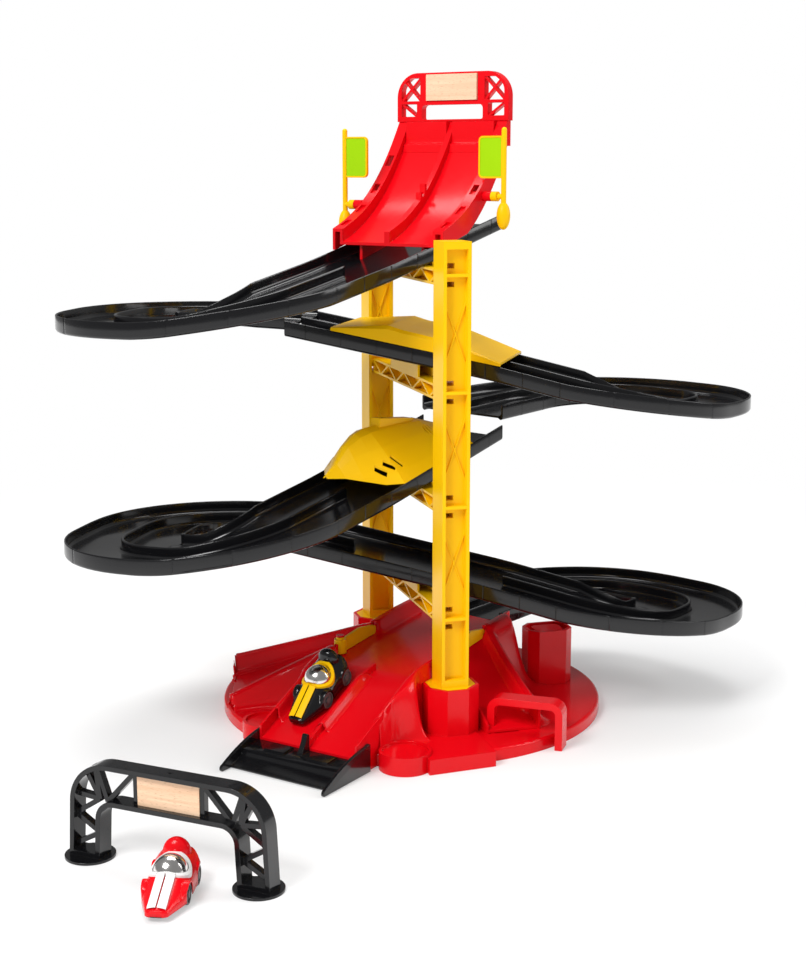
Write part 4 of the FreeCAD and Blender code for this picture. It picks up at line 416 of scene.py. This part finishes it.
# %% Track sections
# Every place in a section is (offset outwards, drop below the rim), in millimetres.
run_inner, tip_inner, underside = -51.6, -42.0, 13.5
wall_top = arc((52.5, 1.0), 1.0, -180, 0, 7)
lower_edge = arc((50.3, 12.0), 3.2, 0, 90, 6)
inner_corner = arc((47.3, 7.3), 4.2, 90, 0, 6)
outer_section = np.concatenate([inner_corner, wall_top, lower_edge,
                                [(47.6, underside), (run_inner, underside), (run_inner, 11.5)]])
inner_section = np.concatenate([inner_corner, wall_top, lower_edge,
                                [(47.6, 13.6), (47.3, 12.6)]]) * (-1.0, 1.0)
divider_section = np.concatenate([arc((-4.5, 8.5), 3.0, 90, 0, 5), arc((0.0, 2.1), 1.5, -180, 0, 7),
                                  arc((4.5, 8.5), 3.0, 180, 90, 5), [(4.5, 12.4), (-4.5, 12.4)]])
print("section points", len(outer_section), len(inner_section), len(divider_section))


def swept(line, u, section, cut=0.0):
    """Section carried along the line; points on the outer face sink by the seam's depth."""
    offset = np.repeat(section[None, :, 0], len(u), axis=0)
    drop = np.repeat(section[None, :, 1], len(u), axis=0)
    outside = np.abs(section[:, 0]) > 51.9
    offset = offset - np.sign(offset) * outside[None, :] * np.asarray(cut).reshape(-1, 1)
    return line.place(u, offset, drop)


def round_ends(u, line, section, start, end):
    """Narrows the divider to a round end within its last 2 mm."""
    reach = np.minimum(u - start if start is not None else 9.0, end - u if end is not None else 9.0)
    width = np.sqrt(np.clip(1.0 - (1.0 - np.clip(reach, 0.0, 2.0) / 2.0) ** 2, 0.004, 1.0))
    return line.place(u, section[None, :, 0] * width[:, None], np.repeat(section[None, :, 1], len(u), axis=0))


# %% Parts of a moulding
open_above, open_below = 58.0, 92.0


def fin_marks():
    """End of the near tip arc, and how far along each run the inner walls meet."""
    a, b = math.radians(90.0 - near_flare), math.radians(90.0 - far_flare)
    reach = 53.5 - tip_radius
    x, y = np.linalg.solve([(math.cos(a), math.sin(a)), (math.cos(b), -math.sin(b))], (reach, reach))
    near_tip = tip_radius * a + x * math.sin(a) - y * math.cos(a)
    far_tip = tip_radius * b + x * math.sin(b) + y * math.cos(b)
    return tip_radius * a, near_tip, far_tip


def upright(centre, radius, height, around=20):
    """Round post: rings of points on a circle, the last one smaller for a bevel at the top."""
    angle = np.linspace(0.0, 2.0 * math.pi, around, endpoint=False)
    levels = [(radius, 0.0), (radius, height - 0.5), (radius - 0.5, height)]
    rings = [np.stack([centre[0] + r * np.cos(angle), centre[1] + r * np.sin(angle),
                       np.full(around, centre[2] + z)], axis=1) for r, z in levels]
    return closed_loft(np.stack(rings))


def flat_plate(corners, thick):
    """Plate under a polygon of corners."""
    top = np.asarray(corners, float)
    return closed_loft(np.stack([top, top - (0.0, 0.0, thick)]))


def track_shells(left):
    """Floors, rounded walls, divider, fin and joint tab of one moulding, rim at zero."""
    line = TrackLine(left)
    near_arc, near_tip, far_tip = fin_marks()
    seams = np.arange(line.top + 21.0, line.bottom - 8.0, 35.0)
    shells = []
    floors = ((line.top, -near_tip, run_inner), (-near_tip, far_tip, tip_inner),
              (far_tip, line.bottom, run_inner))
    for start, end, inner in floors:
        u = stations(start, end, seams)
        section = outer_section.copy()
        section[-2:, 0] = inner
        shells.append(closed_loft(swept(line, u, section, grooves(u, seams))))
    for start, end in ((line.top, -near_tip), (far_tip, line.bottom)):
        u = stations(start, end, seams)
        shells.append(closed_loft(swept(line, u, inner_section, grooves(u, seams))))
    nose, lead = open_below - line.crossing, -open_above - line.crossing
    for start, end, soft_start, soft_end in ((line.top, lead, None, lead), (nose, line.bottom, nose, None)):
        u = np.unique(np.concatenate([stations(start, end), [end - k for k in (0.1, 0.4, 1.0, 2.0)],
                                      [start + k for k in (0.1, 0.4, 1.0, 2.0)]]))
        shells.append(closed_loft(round_ends(u, line, divider_section, soft_start, soft_end)))
    hub = line.place(np.array([-near_arc]), np.array([[-tip_radius]]), np.array([[underside]]))[0, 0]
    shells.append(upright(hub, 1.8, 2.0))
    fin = [line.place(np.array([u]), np.array([[o]]), np.array([[11.56]]))[0, 0]
           for u, o in ((-near_arc, -tip_radius), (-near_tip, tip_inner), (-near_tip, -53.4),
                        (far_tip, tip_inner))]
    shells.append(flat_plate(fin, 1.9))
    fin_foot = line.place(np.array([-near_tip]), np.array([[-53.5]]), np.array([[15.2]]))[0, 0]
    shells.append(upright(fin_foot, 2.4, 15.4))
    ends = line.place(np.array([line.top + 6.0, line.top]),
                      np.array([[11.0, -11.0]] * 2), np.array([[underside] * 2] * 2))
    step = (ends[1] - ends[0]) / 6.0
    tongue = np.stack([ends[0, 0], ends[0, 1], ends[1, 1] + 14.0 * step[1], ends[1, 0] + 14.0 * step[0]])
    tongue[:, 2] = ends[0, 0, 2] + 0.3
    shells.append(flat_plate(tongue, 2.3))
    return shells


# %% Tracks
rims = {1: 400.2, 2: 307.8, 3: 192.5, 4: 95.6}
for level, rim in rims.items():
    shells = [(points + (0.0, 0.0, rim), faces) for points, faces in track_shells(level % 2 == 1)]
    make_piece("track_skin_%d" % level, "tower", black, shells, replaced=["track_%d" % level])

# %% [markdown]
# The red base is one deep moulding. Its lanes and side channels are not boxes with thin
# walls: the walls swell out of the floor and roll over like draped cloth, and outside they
# run down to the round foot in a soft slope. A height for every place in plan describes
# that well. Under the floors the surface stays a little below the plain one, so it only
# shows where a wall rises.


# %% Thin skins
def grid_quads(rows, columns):
    """Four corner numbers for every cell of a grid of points."""
    i, j = np.meshgrid(np.arange(rows - 1), np.arange(columns - 1), indexing="ij")
    quads = np.stack([i * columns + j, (i + 1) * columns + j,
                      (i + 1) * columns + j + 1, i * columns + j + 1], axis=-1)
    return quads.reshape(-1, 4)


def thin_skin(name, body, material, points, quads, thick, crisp=None):
    """Open sheet of quads, given in millimetres, made thick inwards; it rides on a body."""
    used, compact = np.unique(quads, return_inverse=True)
    mesh = bpy.data.meshes.new(name)
    mesh.from_pydata(points[used] / 1000.0, [], compact.reshape(-1, 4).tolist())
    mesh.shade_smooth()
    if crisp:
        mesh.set_sharp_from_angle(angle=math.radians(crisp))
    mesh.materials.append(material)
    piece = bpy.data.objects.new(name, mesh)
    bpy.context.scene.collection.objects.link(piece)
    wall = piece.modifiers.new("skin", "SOLIDIFY")
    wall.thickness, wall.offset = thick / 1000.0, -1.0
    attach(piece, body)
    print(name, len(mesh.polygons), "faces")
    return piece


# %% Lanes of the base
deck = 53.9
lane_from, lane_to = 12.0, 288.0
lane_turn = math.radians(41.0)
lane_start = np.array([75.0, 40.0])
lane_head = -np.array([math.cos(lane_turn), math.sin(lane_turn)])
lane_side = np.array([-lane_head[1], lane_head[0]])


def lane_floor(along):
    """Height of the lane floor: three slopes that follow each other softly."""
    fall = 0.05 * (along - lane_from) + 0.05 * slope_in(along, 44, 56) + 0.35 * slope_in(along, 172, 212)
    return 76.0 - fall


def lane_point(along, across, z=0.0):
    """Place on the base: start plus along times the heading plus across times its side."""
    place = lane_start + lane_head * along + lane_side * across
    return np.array([place[0], place[1], z])


print("lanes fall from", lane_floor(lane_from), "to", round(float(lane_floor(lane_to)), 1), "mm")


# %% Walls beside the lanes
def bowed(a, middle, b, count=40):
    """Points on a gentle bend: each is a blend of two straight blends."""
    f = np.linspace(0.0, 1.0, count)[:, None]
    return (a * (1 - f) + middle * f) * (1 - f) + (middle * (1 - f) + b * f) * f


def wall_line(points, rise_start, rise_end):
    """Top line of a wall: floor edge points lifted by a rise that changes evenly."""
    lift = np.linspace(rise_start, rise_end, len(points))
    return points + np.stack([0 * lift, 0 * lift, lift], axis=1)


def along_wall(start, end, across, rise, fade_start=False, fade_end=False):
    """Wall beside the lanes between two distances, sinking into the floor where it fades."""
    along = np.linspace(start, end, max(2, int((end - start) / 2.0)))
    lift = np.full_like(along, rise)
    if fade_start:
        lift *= np.clip((along - start) / 14.0, 0.0, 1.0) ** 0.5
    if fade_end:
        lift *= np.clip((end - along) / 14.0, 0.0, 1.0) ** 0.5
    line = lane_start[None, :] + along[:, None] * lane_head[None, :] + across * lane_side[None, :]
    return np.column_stack([line, lane_floor(along) + lift])


# %% Measures in plan
def nearest(grid, line):
    """Distance in plan from each grid point to a line of points, and the height there."""
    best, height = np.full(len(grid), 1e9), np.zeros(len(grid))
    for a, b in zip(line, line[1:]):
        step = b[:2] - a[:2]
        f = np.clip(((grid - a[:2]) @ step) / max(step @ step, 1e-9), 0.0, 1.0)
        gap = np.hypot(*(grid - a[:2] - f[:, None] * step).T)
        closer = gap < best
        best = np.where(closer, gap, best)
        height = np.where(closer, a[2] + f * (b[2] - a[2]), height)
    return best, height


def between(a, b, across):
    """Weight from 0 to 1 as a value grows from a to b, softly at both ends."""
    f = np.clip((across - a) / (b - a), 0.0, 1.0)
    return f * f * (3.0 - 2.0 * f)


def inside(grid, outline):
    """True where a grid point lies inside a closed outline: an odd number of edges to its right."""
    x, y = grid[:, 0], grid[:, 1]
    hits = np.zeros(len(grid), bool)
    for (ax, ay), (bx, by) in zip(outline, np.roll(outline, -1, axis=0)):
        if ay == by:
            continue
        crosses = (ay > y) != (by > y)
        hits ^= crosses & (x < (bx - ax) * (y - ay) / (by - ay) + ax)
    return hits


# %% Channels and wall tops
rim_radius = 186.0


def channel(far_points, near_points):
    """Two floor edges of a channel, each a bend that three places give."""
    return bowed(*far_points), bowed(*near_points)


def rim_place(degrees, z):
    """Place on the round rim: radius times the cosine and the sine of the angle."""
    angle = math.radians(degrees)
    return np.array([rim_radius * math.cos(angle), rim_radius * math.sin(angle), z])


left_far, left_near = channel(
    (lane_point(98, -deck, lane_floor(98.0)), np.array([-92.0, 62.0, 40.0]), rim_place(151.0, 17.0)),
    (lane_point(166, -deck, lane_floor(166.0)), np.array([-118.0, 8.0, 38.0]), rim_place(182.0, 15.0)))
right_far, right_near = channel(
    (lane_point(128, deck, lane_floor(128.0)), np.array([28.5, -104.0, 36.0]),
     np.array([28.5, -148.0, 15.0])),
    (lane_point(62, deck, lane_floor(62.0)), np.array([74.0, -84.0, 36.0]), np.array([82.0, -148.0, 15.0])))

wall_tops = [along_wall(190.0, 284.0, 0.0, 7.6, fade_start=True),
             along_wall(26.0, 93.0, 1.2 - deck, 12.2), along_wall(172.0, 287.0, 1.2 - deck, 12.2),
             along_wall(26.0, 57.0, deck - 1.2, 12.2), along_wall(134.0, 287.0, deck - 1.2, 12.2),
             wall_line(left_far[3:-1], 12.4, 18.6), wall_line(left_near[4:-1], 12.4, 10.8),
             wall_line(right_near[2:-8], 12.4, 15.0)]
keep_clear = [(0.0, -125.8, 42.0), (0.0, 125.8, 42.0)]
keep_clear += [tuple(lane_point(245.0, side * 77.0)[:2]) + (38.0,) for side in (-1, 1)]
print(len(wall_tops), "wall tops,", len(keep_clear), "places kept clear")


# %% Base drape
foot_level = 11.0


def drape_height(grid):
    """Floor under each place, and over it the tallest of the rolled walls: a wall's height over
    the floor beside it fades as 1 / (1 + (distance / width) ** 4), wider where it is tall."""
    lane = np.column_stack([(grid - lane_start) @ lane_head, (grid - lane_start) @ lane_side])
    ground = np.full(len(grid), foot_level)
    for far, near in ((left_far, left_near), (right_far, right_near)):
        within = inside(grid, np.concatenate([far[:, :2], near[::-1, :2]]))
        far_gap, far_z = nearest(grid, far)
        near_gap, near_z = nearest(grid, near)
        level = (far_z * near_gap + near_z * far_gap) / np.maximum(far_gap + near_gap, 1e-6)
        ground = np.where(within, level - 1.6, ground)
    on_lanes = (np.abs(lane[:, 1]) < deck) & (lane[:, 0] > lane_from) & (lane[:, 0] < lane_to)
    ground = np.where(on_lanes, lane_floor(lane[:, 0]) - 0.5, ground)
    on_foot = ground < foot_level + 0.5
    room = np.ones(len(grid))
    for x, y, reach in keep_clear:
        room = np.minimum(room, between(reach - 14.0, reach, np.hypot(grid[:, 0] - x, grid[:, 1] - y)))
    room = np.where(lane[:, 0] > 180.0, np.minimum(room, between(268.0, 246.0, lane[:, 0])), room)
    top = ground.copy()
    for line in wall_tops:
        gap, crest = nearest(grid, line)
        tall = np.maximum(crest - ground, 0.0)
        soft = np.where(on_foot, 1.9 + (3.0 + 0.17 * tall) * room, 4.4)
        top = np.maximum(top, ground + tall / (1.0 + (gap / soft) ** 4))
    blocked = on_foot & (lane[:, 0] > 266.0) & (np.abs(lane[:, 1]) > deck)
    return np.where(blocked, ground, top), ground


def drape_piece():
    """Grid in plan, lifted to its height; only faces near a wall are kept, then thickened."""
    step, half = 1.5, 189.0
    ticks = np.arange(-half, half + step, step)
    x, y = np.meshgrid(ticks, ticks, indexing="ij")
    grid = np.column_stack([x.ravel(), y.ravel()])
    height, ground = drape_height(grid)
    quads = grid_quads(len(ticks), len(ticks))
    raised = (height - ground) > 0.25
    on_disc = np.hypot(grid[:, 0], grid[:, 1]) < rim_radius + 0.5
    quads = quads[raised[quads].any(axis=1) & on_disc[quads].all(axis=1)]
    thin_skin("base_drape", "tower", red, np.column_stack([grid, height]), quads, 0.5)


drape_piece()


# %% [markdown]
# The black exit ramp clips to the end of the lanes. Its two cheeks are cut in a full curve
# and end in a rounded toe. Its floor runs level, then rolls over and drops to the ground,
# two pads stand proud of it and a short fin parts the lanes.


# %% Exit ramp
def side_plate(outline, across, thick):
    """Flat plate from an outline of (along, height), set upright at a distance across."""
    outline = np.asarray(outline, float)
    rings = []
    for inset, offset in ((0.5, 0.0), (0.0, 0.5), (0.0, thick - 0.5), (0.5, thick)):
        middle = outline.mean(axis=0)
        shrunk = outline + (middle - outline) * (inset / 20.0)
        rings.append(np.array([lane_point(a, across + offset, z) for a, z in shrunk]))
    return closed_loft(np.stack(rings))


def curve_between(a, b, sag, steps=10):
    """Line from a to b that sags below the straight one by a parabola."""
    f = np.linspace(0.0, 1.0, steps)
    return np.column_stack([a[0] + (b[0] - a[0]) * f, a[1] + (b[1] - a[1]) * f - 4 * sag * f * (1 - f)])


end_level = float(lane_floor(lane_to))
wide = deck + 0.25
cheek = np.concatenate([[(270.5, 0.3), (270.5, 24.0)], arc((273.0, 24.2), 2.5, 180, 60, 5),
                        curve_between((276.5, 25.4), (341.8, 5.2), -3.6), arc((341.2, 2.8), 2.6, 70, -90, 7)])
level = end_level - 2.2
floor_top = np.concatenate([curve_between((288.3, level), (308.0, level - 1.4), -0.2, 5),
                            curve_between((310.0, level - 1.9), (315.0, level - 5.4), -0.7, 5),
                            curve_between((316.5, level - 7.2), (329.5, 2.6), 0.5, 7),
                            arc((329.6, 1.6), 1.3, 40, -90, 5)])
floor_under = np.array([(324.0, 0.5), (312.0, level - 8.0), (288.3, level - 2.6)])
floor_outline = np.concatenate([floor_top, floor_under])
fin = np.concatenate([[(288.4, level - 1.0), (288.4, end_level + 12.0)],
                      arc((290.4, end_level + 12.0), 2.0, 180, 0, 7),
                      curve_between((292.6, end_level + 11.0), (302.0, level - 1.6), 2.2, 7)])
ramp_shells = [side_plate(floor_outline, -wide, 2 * wide), side_plate(fin, -2.7, 5.4),
               side_plate(cheek, -wide - 3.0, 3.0), side_plate(cheek, wide, 3.0)]
for side in (-1, 1):
    pad = [(290.0, level - 0.5), (291.5, level + 1.5), (306.0, level + 0.4), (308.5, level - 1.6),
           (308.5, level - 3.0), (290.0, level - 2.0)]
    ramp_shells.append(side_plate(pad, side * 24.0 - 11.0, 22.0))
make_piece("exit_ramp_skin", "tower", black, ramp_shells, replaced=["exit_ramp"])

# %% [markdown]
# At its top end the start ramp closes with a wall behind each lane. A soft fillet takes the
# lane floor up into the wall.


# %% Ramp end walls
ramp_heading = math.radians(220.0)


def ramp_point(along, across, z):
    """Place on the start ramp: along its heading, across it and up."""
    ahead = np.array([math.cos(ramp_heading), math.sin(ramp_heading), 0.0])
    beside = np.array([-math.sin(ramp_heading), math.cos(ramp_heading), 0.0])
    return along * ahead + across * beside + np.array([0.0, 0.0, z])


wall_profile = np.concatenate([[(-73.0, 573.4), (-66.8, 573.4)], arc((-66.8, 572.6), 0.8, 90, 0, 4),
                               arc((-61.6, 556.0), 4.4, 180, 262, 8), [(-60.4, 543.5), (-66.0, 546.0)]])
wall_shells = []
for left_edge, right_edge in ((-50.6, -3.2), (3.2, 50.6)):
    rings = [np.array([ramp_point(a, across, z) for a, z in wall_profile])
             for across in (left_edge, right_edge)]
    wall_shells.append(closed_loft(np.stack(rings)))
make_piece("ramp_end_wall", "tower", red, wall_shells)

# %% [markdown]
# Each car is a low pod with a steel ball for a driver. Its skin is one thin moulding with a
# rounded bonnet, shoulders that swell over the wheels and arches cut out round them. A grid
# over length and width gives the height at every place, and the middle is left open where
# the ball turns. The smooth dome behind the ball is a closed shape of its own.


# %% Height of the car body
body_floor, wheel_height, arch_radius = 4.2, 8.0, 8.6
axle_places = (6.0, -27.0)
ball_place, ball_opening = -8.0, 14.2
nose, tail = 39.0, -38.6


def car_grid(length_steps=150, width_steps=72):
    """Height over the plan: the bonnet is a cylinder on a falling line, the shoulders are bells
    near the axles, and the sides roll down as the sixth root of one minus width to the tenth."""
    x = np.linspace(tail, nose, length_steps)[:, None]
    u = np.sin(np.linspace(-0.5, 0.5, width_steps) * math.pi)[None, :]
    half = np.interp(x, [tail, -36.0, -30.0, -24.0, -14.0, -4.0, 4.0, 12.0, 16.5, 37.0, 38.2, nose],
                     [11.0, 14.6, 17.8, 18.3, 17.6, 17.8, 18.3, 17.6, 16.2, 8.4, 6.6, 4.6])
    y = half * u
    ridge = np.where(x < 6.0, 21.75 - 0.16 * (x - 6.0), 21.75 - 0.39 * (x - 6.0))
    bonnet = ridge - 21.0 + np.sqrt(np.maximum(441.0 - y ** 2, 1.0))
    swell = np.maximum(10.0 + 8.2 * np.exp(-((x - 6.0) / 9.0) ** 2),
                       11.0 + 8.6 * np.exp(-((x + 26.0) / 9.5) ** 2))
    shoulder = np.clip((np.abs(y) - 9.0) / 4.5, 0.0, 1.0)
    top = np.maximum(bonnet, swell * shoulder ** 0.7)
    top = np.minimum(top, 4.8 + 6.2 * np.sqrt(np.maximum(nose - x, 0.0) * 2.0))
    top = np.minimum(top, 13.0 + 9.0 * np.sqrt(np.maximum(x + 38.7, 0.0)))
    low = np.full_like(x, body_floor)
    for axle in axle_places:
        rise = wheel_height + np.sqrt(np.maximum(arch_radius ** 2 - (x - axle) ** 2, 0.0))
        low = np.where(np.abs(x - axle) < 7.7, np.maximum(low, rise), low)
    z = low + np.maximum(top - low, 0.6) * np.clip(1.0 - np.abs(u) ** 10, 0.0, 1.0) ** (1.0 / 6.0)
    return np.stack(np.broadcast_arrays(x, y, z), axis=-1)


# %% Car skins
def ball_shape(centre, radii, rows=24, around=40):
    """Closed egg: rings on a sphere, stretched along each axis."""
    angle = np.linspace(0.02, math.pi - 0.02, rows)[:, None]
    turn = np.linspace(0.0, 2.0 * math.pi, around, endpoint=False)[None, :]
    unit = np.stack(np.broadcast_arrays(np.sin(angle) * np.cos(turn), np.sin(angle) * np.sin(turn),
                                        np.cos(angle)), axis=-1)
    return closed_loft(unit * np.asarray(radii) + np.asarray(centre))


def set_down(points, frame_of_car):
    """Points of the car's own frame moved to where it stands: origin plus x, y and z along its axes."""
    origin, ahead, left, up = (np.asarray(v) for v in frame_of_car)
    return origin + points[..., :1] * ahead + points[..., 1:2] * left + points[..., 2:3] * up


def car_skin(colour, frame_of_car, material):
    """Thin body with an opening for the ball, and the dome behind it; replaces the plain body."""
    grid = car_grid()
    quads = grid_quads(*grid.shape[:2])
    flat = grid.reshape(-1, 3)
    open_middle = np.hypot(flat[:, 0] - ball_place, flat[:, 1]) < ball_opening
    quads = quads[~open_middle[quads].any(axis=1)]
    body = colour + "_car"
    piece = thin_skin(colour + "_skin", body, material, set_down(flat, frame_of_car), quads, 0.6, crisp=50.0)
    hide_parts(body + "_body")
    dome_points, dome_faces = ball_shape((-29.6, 0.0, 24.6), (7.4, 11.0, 12.2))
    dome = (set_down(dome_points, frame_of_car), dome_faces)
    make_piece(body + "_dome", body, material, [dome], crisp=60.0)


car_places = {
    "black": ((-117.904867, -93.239305, 41.724146), (-0.688236, -0.598274, -0.410365),
              (0.656059, -0.75471, 0.0), (-0.309706, -0.269223, 0.911922)),
    "red": ((-303.0, -388.0, 0.0), (-0.374607, -0.927184, 0.0),
            (0.927184, -0.374607, 0.0), (0.0, 0.0, 1.0))}
for colour, finish in (("black", black), ("red", red)):
    car_skin(colour, car_places[colour], finish)

# %% [markdown]
# The floor is a plain white sweep. The camera sees it as white paper that still holds the
# soft shadow of the toy: near the toy a good quarter of what it shows is light of its own
# and the rest comes from the lamps and the room, and further off its own light takes over.


# %% Floor and light
def paper_floor():
    """Flat square sheet at floor level."""
    span, below = 6.0, 0.0002
    mesh = bpy.data.meshes.new("paper_floor")
    corners = np.array([(-1, -1), (1, -1), (1, 1), (-1, 1)], float) * span
    mesh.from_pydata([(x, y, -below) for x, y in corners], [], [(0, 1, 2, 3)])
    sheet = bpy.data.objects.new("paper_floor", mesh)
    bpy.context.scene.collection.objects.link(sheet)
    material = bpy.data.materials.new("white_paper")
    material.use_nodes = True
    tree = material.node_tree
    tree.nodes.clear()
    path = add_node(tree, "ShaderNodeLightPath")
    seen = add_node(tree, "ShaderNodeMath", {"operation": "MAXIMUM"},
                    i0=path.outputs["Is Camera Ray"], i1=path.outputs["Is Glossy Ray"])
    place = add_node(tree, "ShaderNodeTexCoord").outputs["Object"]
    away = add_node(tree, "ShaderNodeVectorMath", {"operation": "LENGTH"}, i0=place)
    white = spread(tree, away.outputs["Value"], 0.28, 1.0, 0.34, 1.3)
    share = add_node(tree, "ShaderNodeMath", {"operation": "MULTIPLY"}, i0=seen.outputs[0], i1=white)
    lit = add_node(tree, "ShaderNodeBsdfDiffuse", Color=(0.93, 0.93, 0.93, 1.0))
    own_light = add_node(tree, "ShaderNodeEmission", Color=(1.0, 1.0, 1.0, 1.0), Strength=1.0)
    mix = add_node(tree, "ShaderNodeMixShader",
                   i0=share.outputs[0], i1=lit.outputs[0], i2=own_light.outputs[0])
    add_node(tree, "ShaderNodeOutputMaterial", Surface=mix.outputs[0])
    mesh.materials.append(material)


def soft_box(name, place, target, width, height, power):
    """Rectangular studio lamp that faces a point."""
    data = bpy.data.lights.new(name, "AREA")
    data.shape = "RECTANGLE"
    data.size, data.size_y = width, height
    data.energy = power
    lamp = bpy.data.objects.new(name, data)
    lamp.location = place
    lamp.rotation_euler = (Vector(target) - Vector(place)).to_track_quat("-Z", "Y").to_euler()
    bpy.context.scene.collection.objects.link(lamp)


def studio_world():
    """Even room: white to the camera, dimmer as a light and dimmer still in reflections."""
    world = bpy.data.worlds.new("studio_room")
    bpy.context.scene.world = world
    world.use_nodes = True
    tree = world.node_tree
    tree.nodes.clear()
    path = add_node(tree, "ShaderNodeLightPath")
    mirrored = spread(tree, path.outputs["Is Glossy Ray"], 0.52, 0.24)
    strength = add_node(tree, "ShaderNodeMath", {"operation": "MAXIMUM"},
                        i0=path.outputs["Is Camera Ray"], i1=mirrored).outputs[0]
    room = add_node(tree, "ShaderNodeBackground", Color=(1.0, 1.0, 1.0, 1.0), Strength=strength)
    add_node(tree, "ShaderNodeOutputWorld", Surface=room.outputs[0])


paper_floor()
studio_world()
soft_box("key_box", (-1.5, -1.1, 1.8), (0.0, 0.0, 0.25), 0.9, 0.9, 40.0)
soft_box("side_box", (1.9, -0.6, 1.2), (0.0, 0.0, 0.3), 0.8, 1.3, 14.0)
soft_box("top_box", (0.1, 0.5, 2.2), (0.0, 0.0, 0.3), 1.5, 0.9, 24.0)
print("lamps", [lamp.name for lamp in bpy.data.lights])
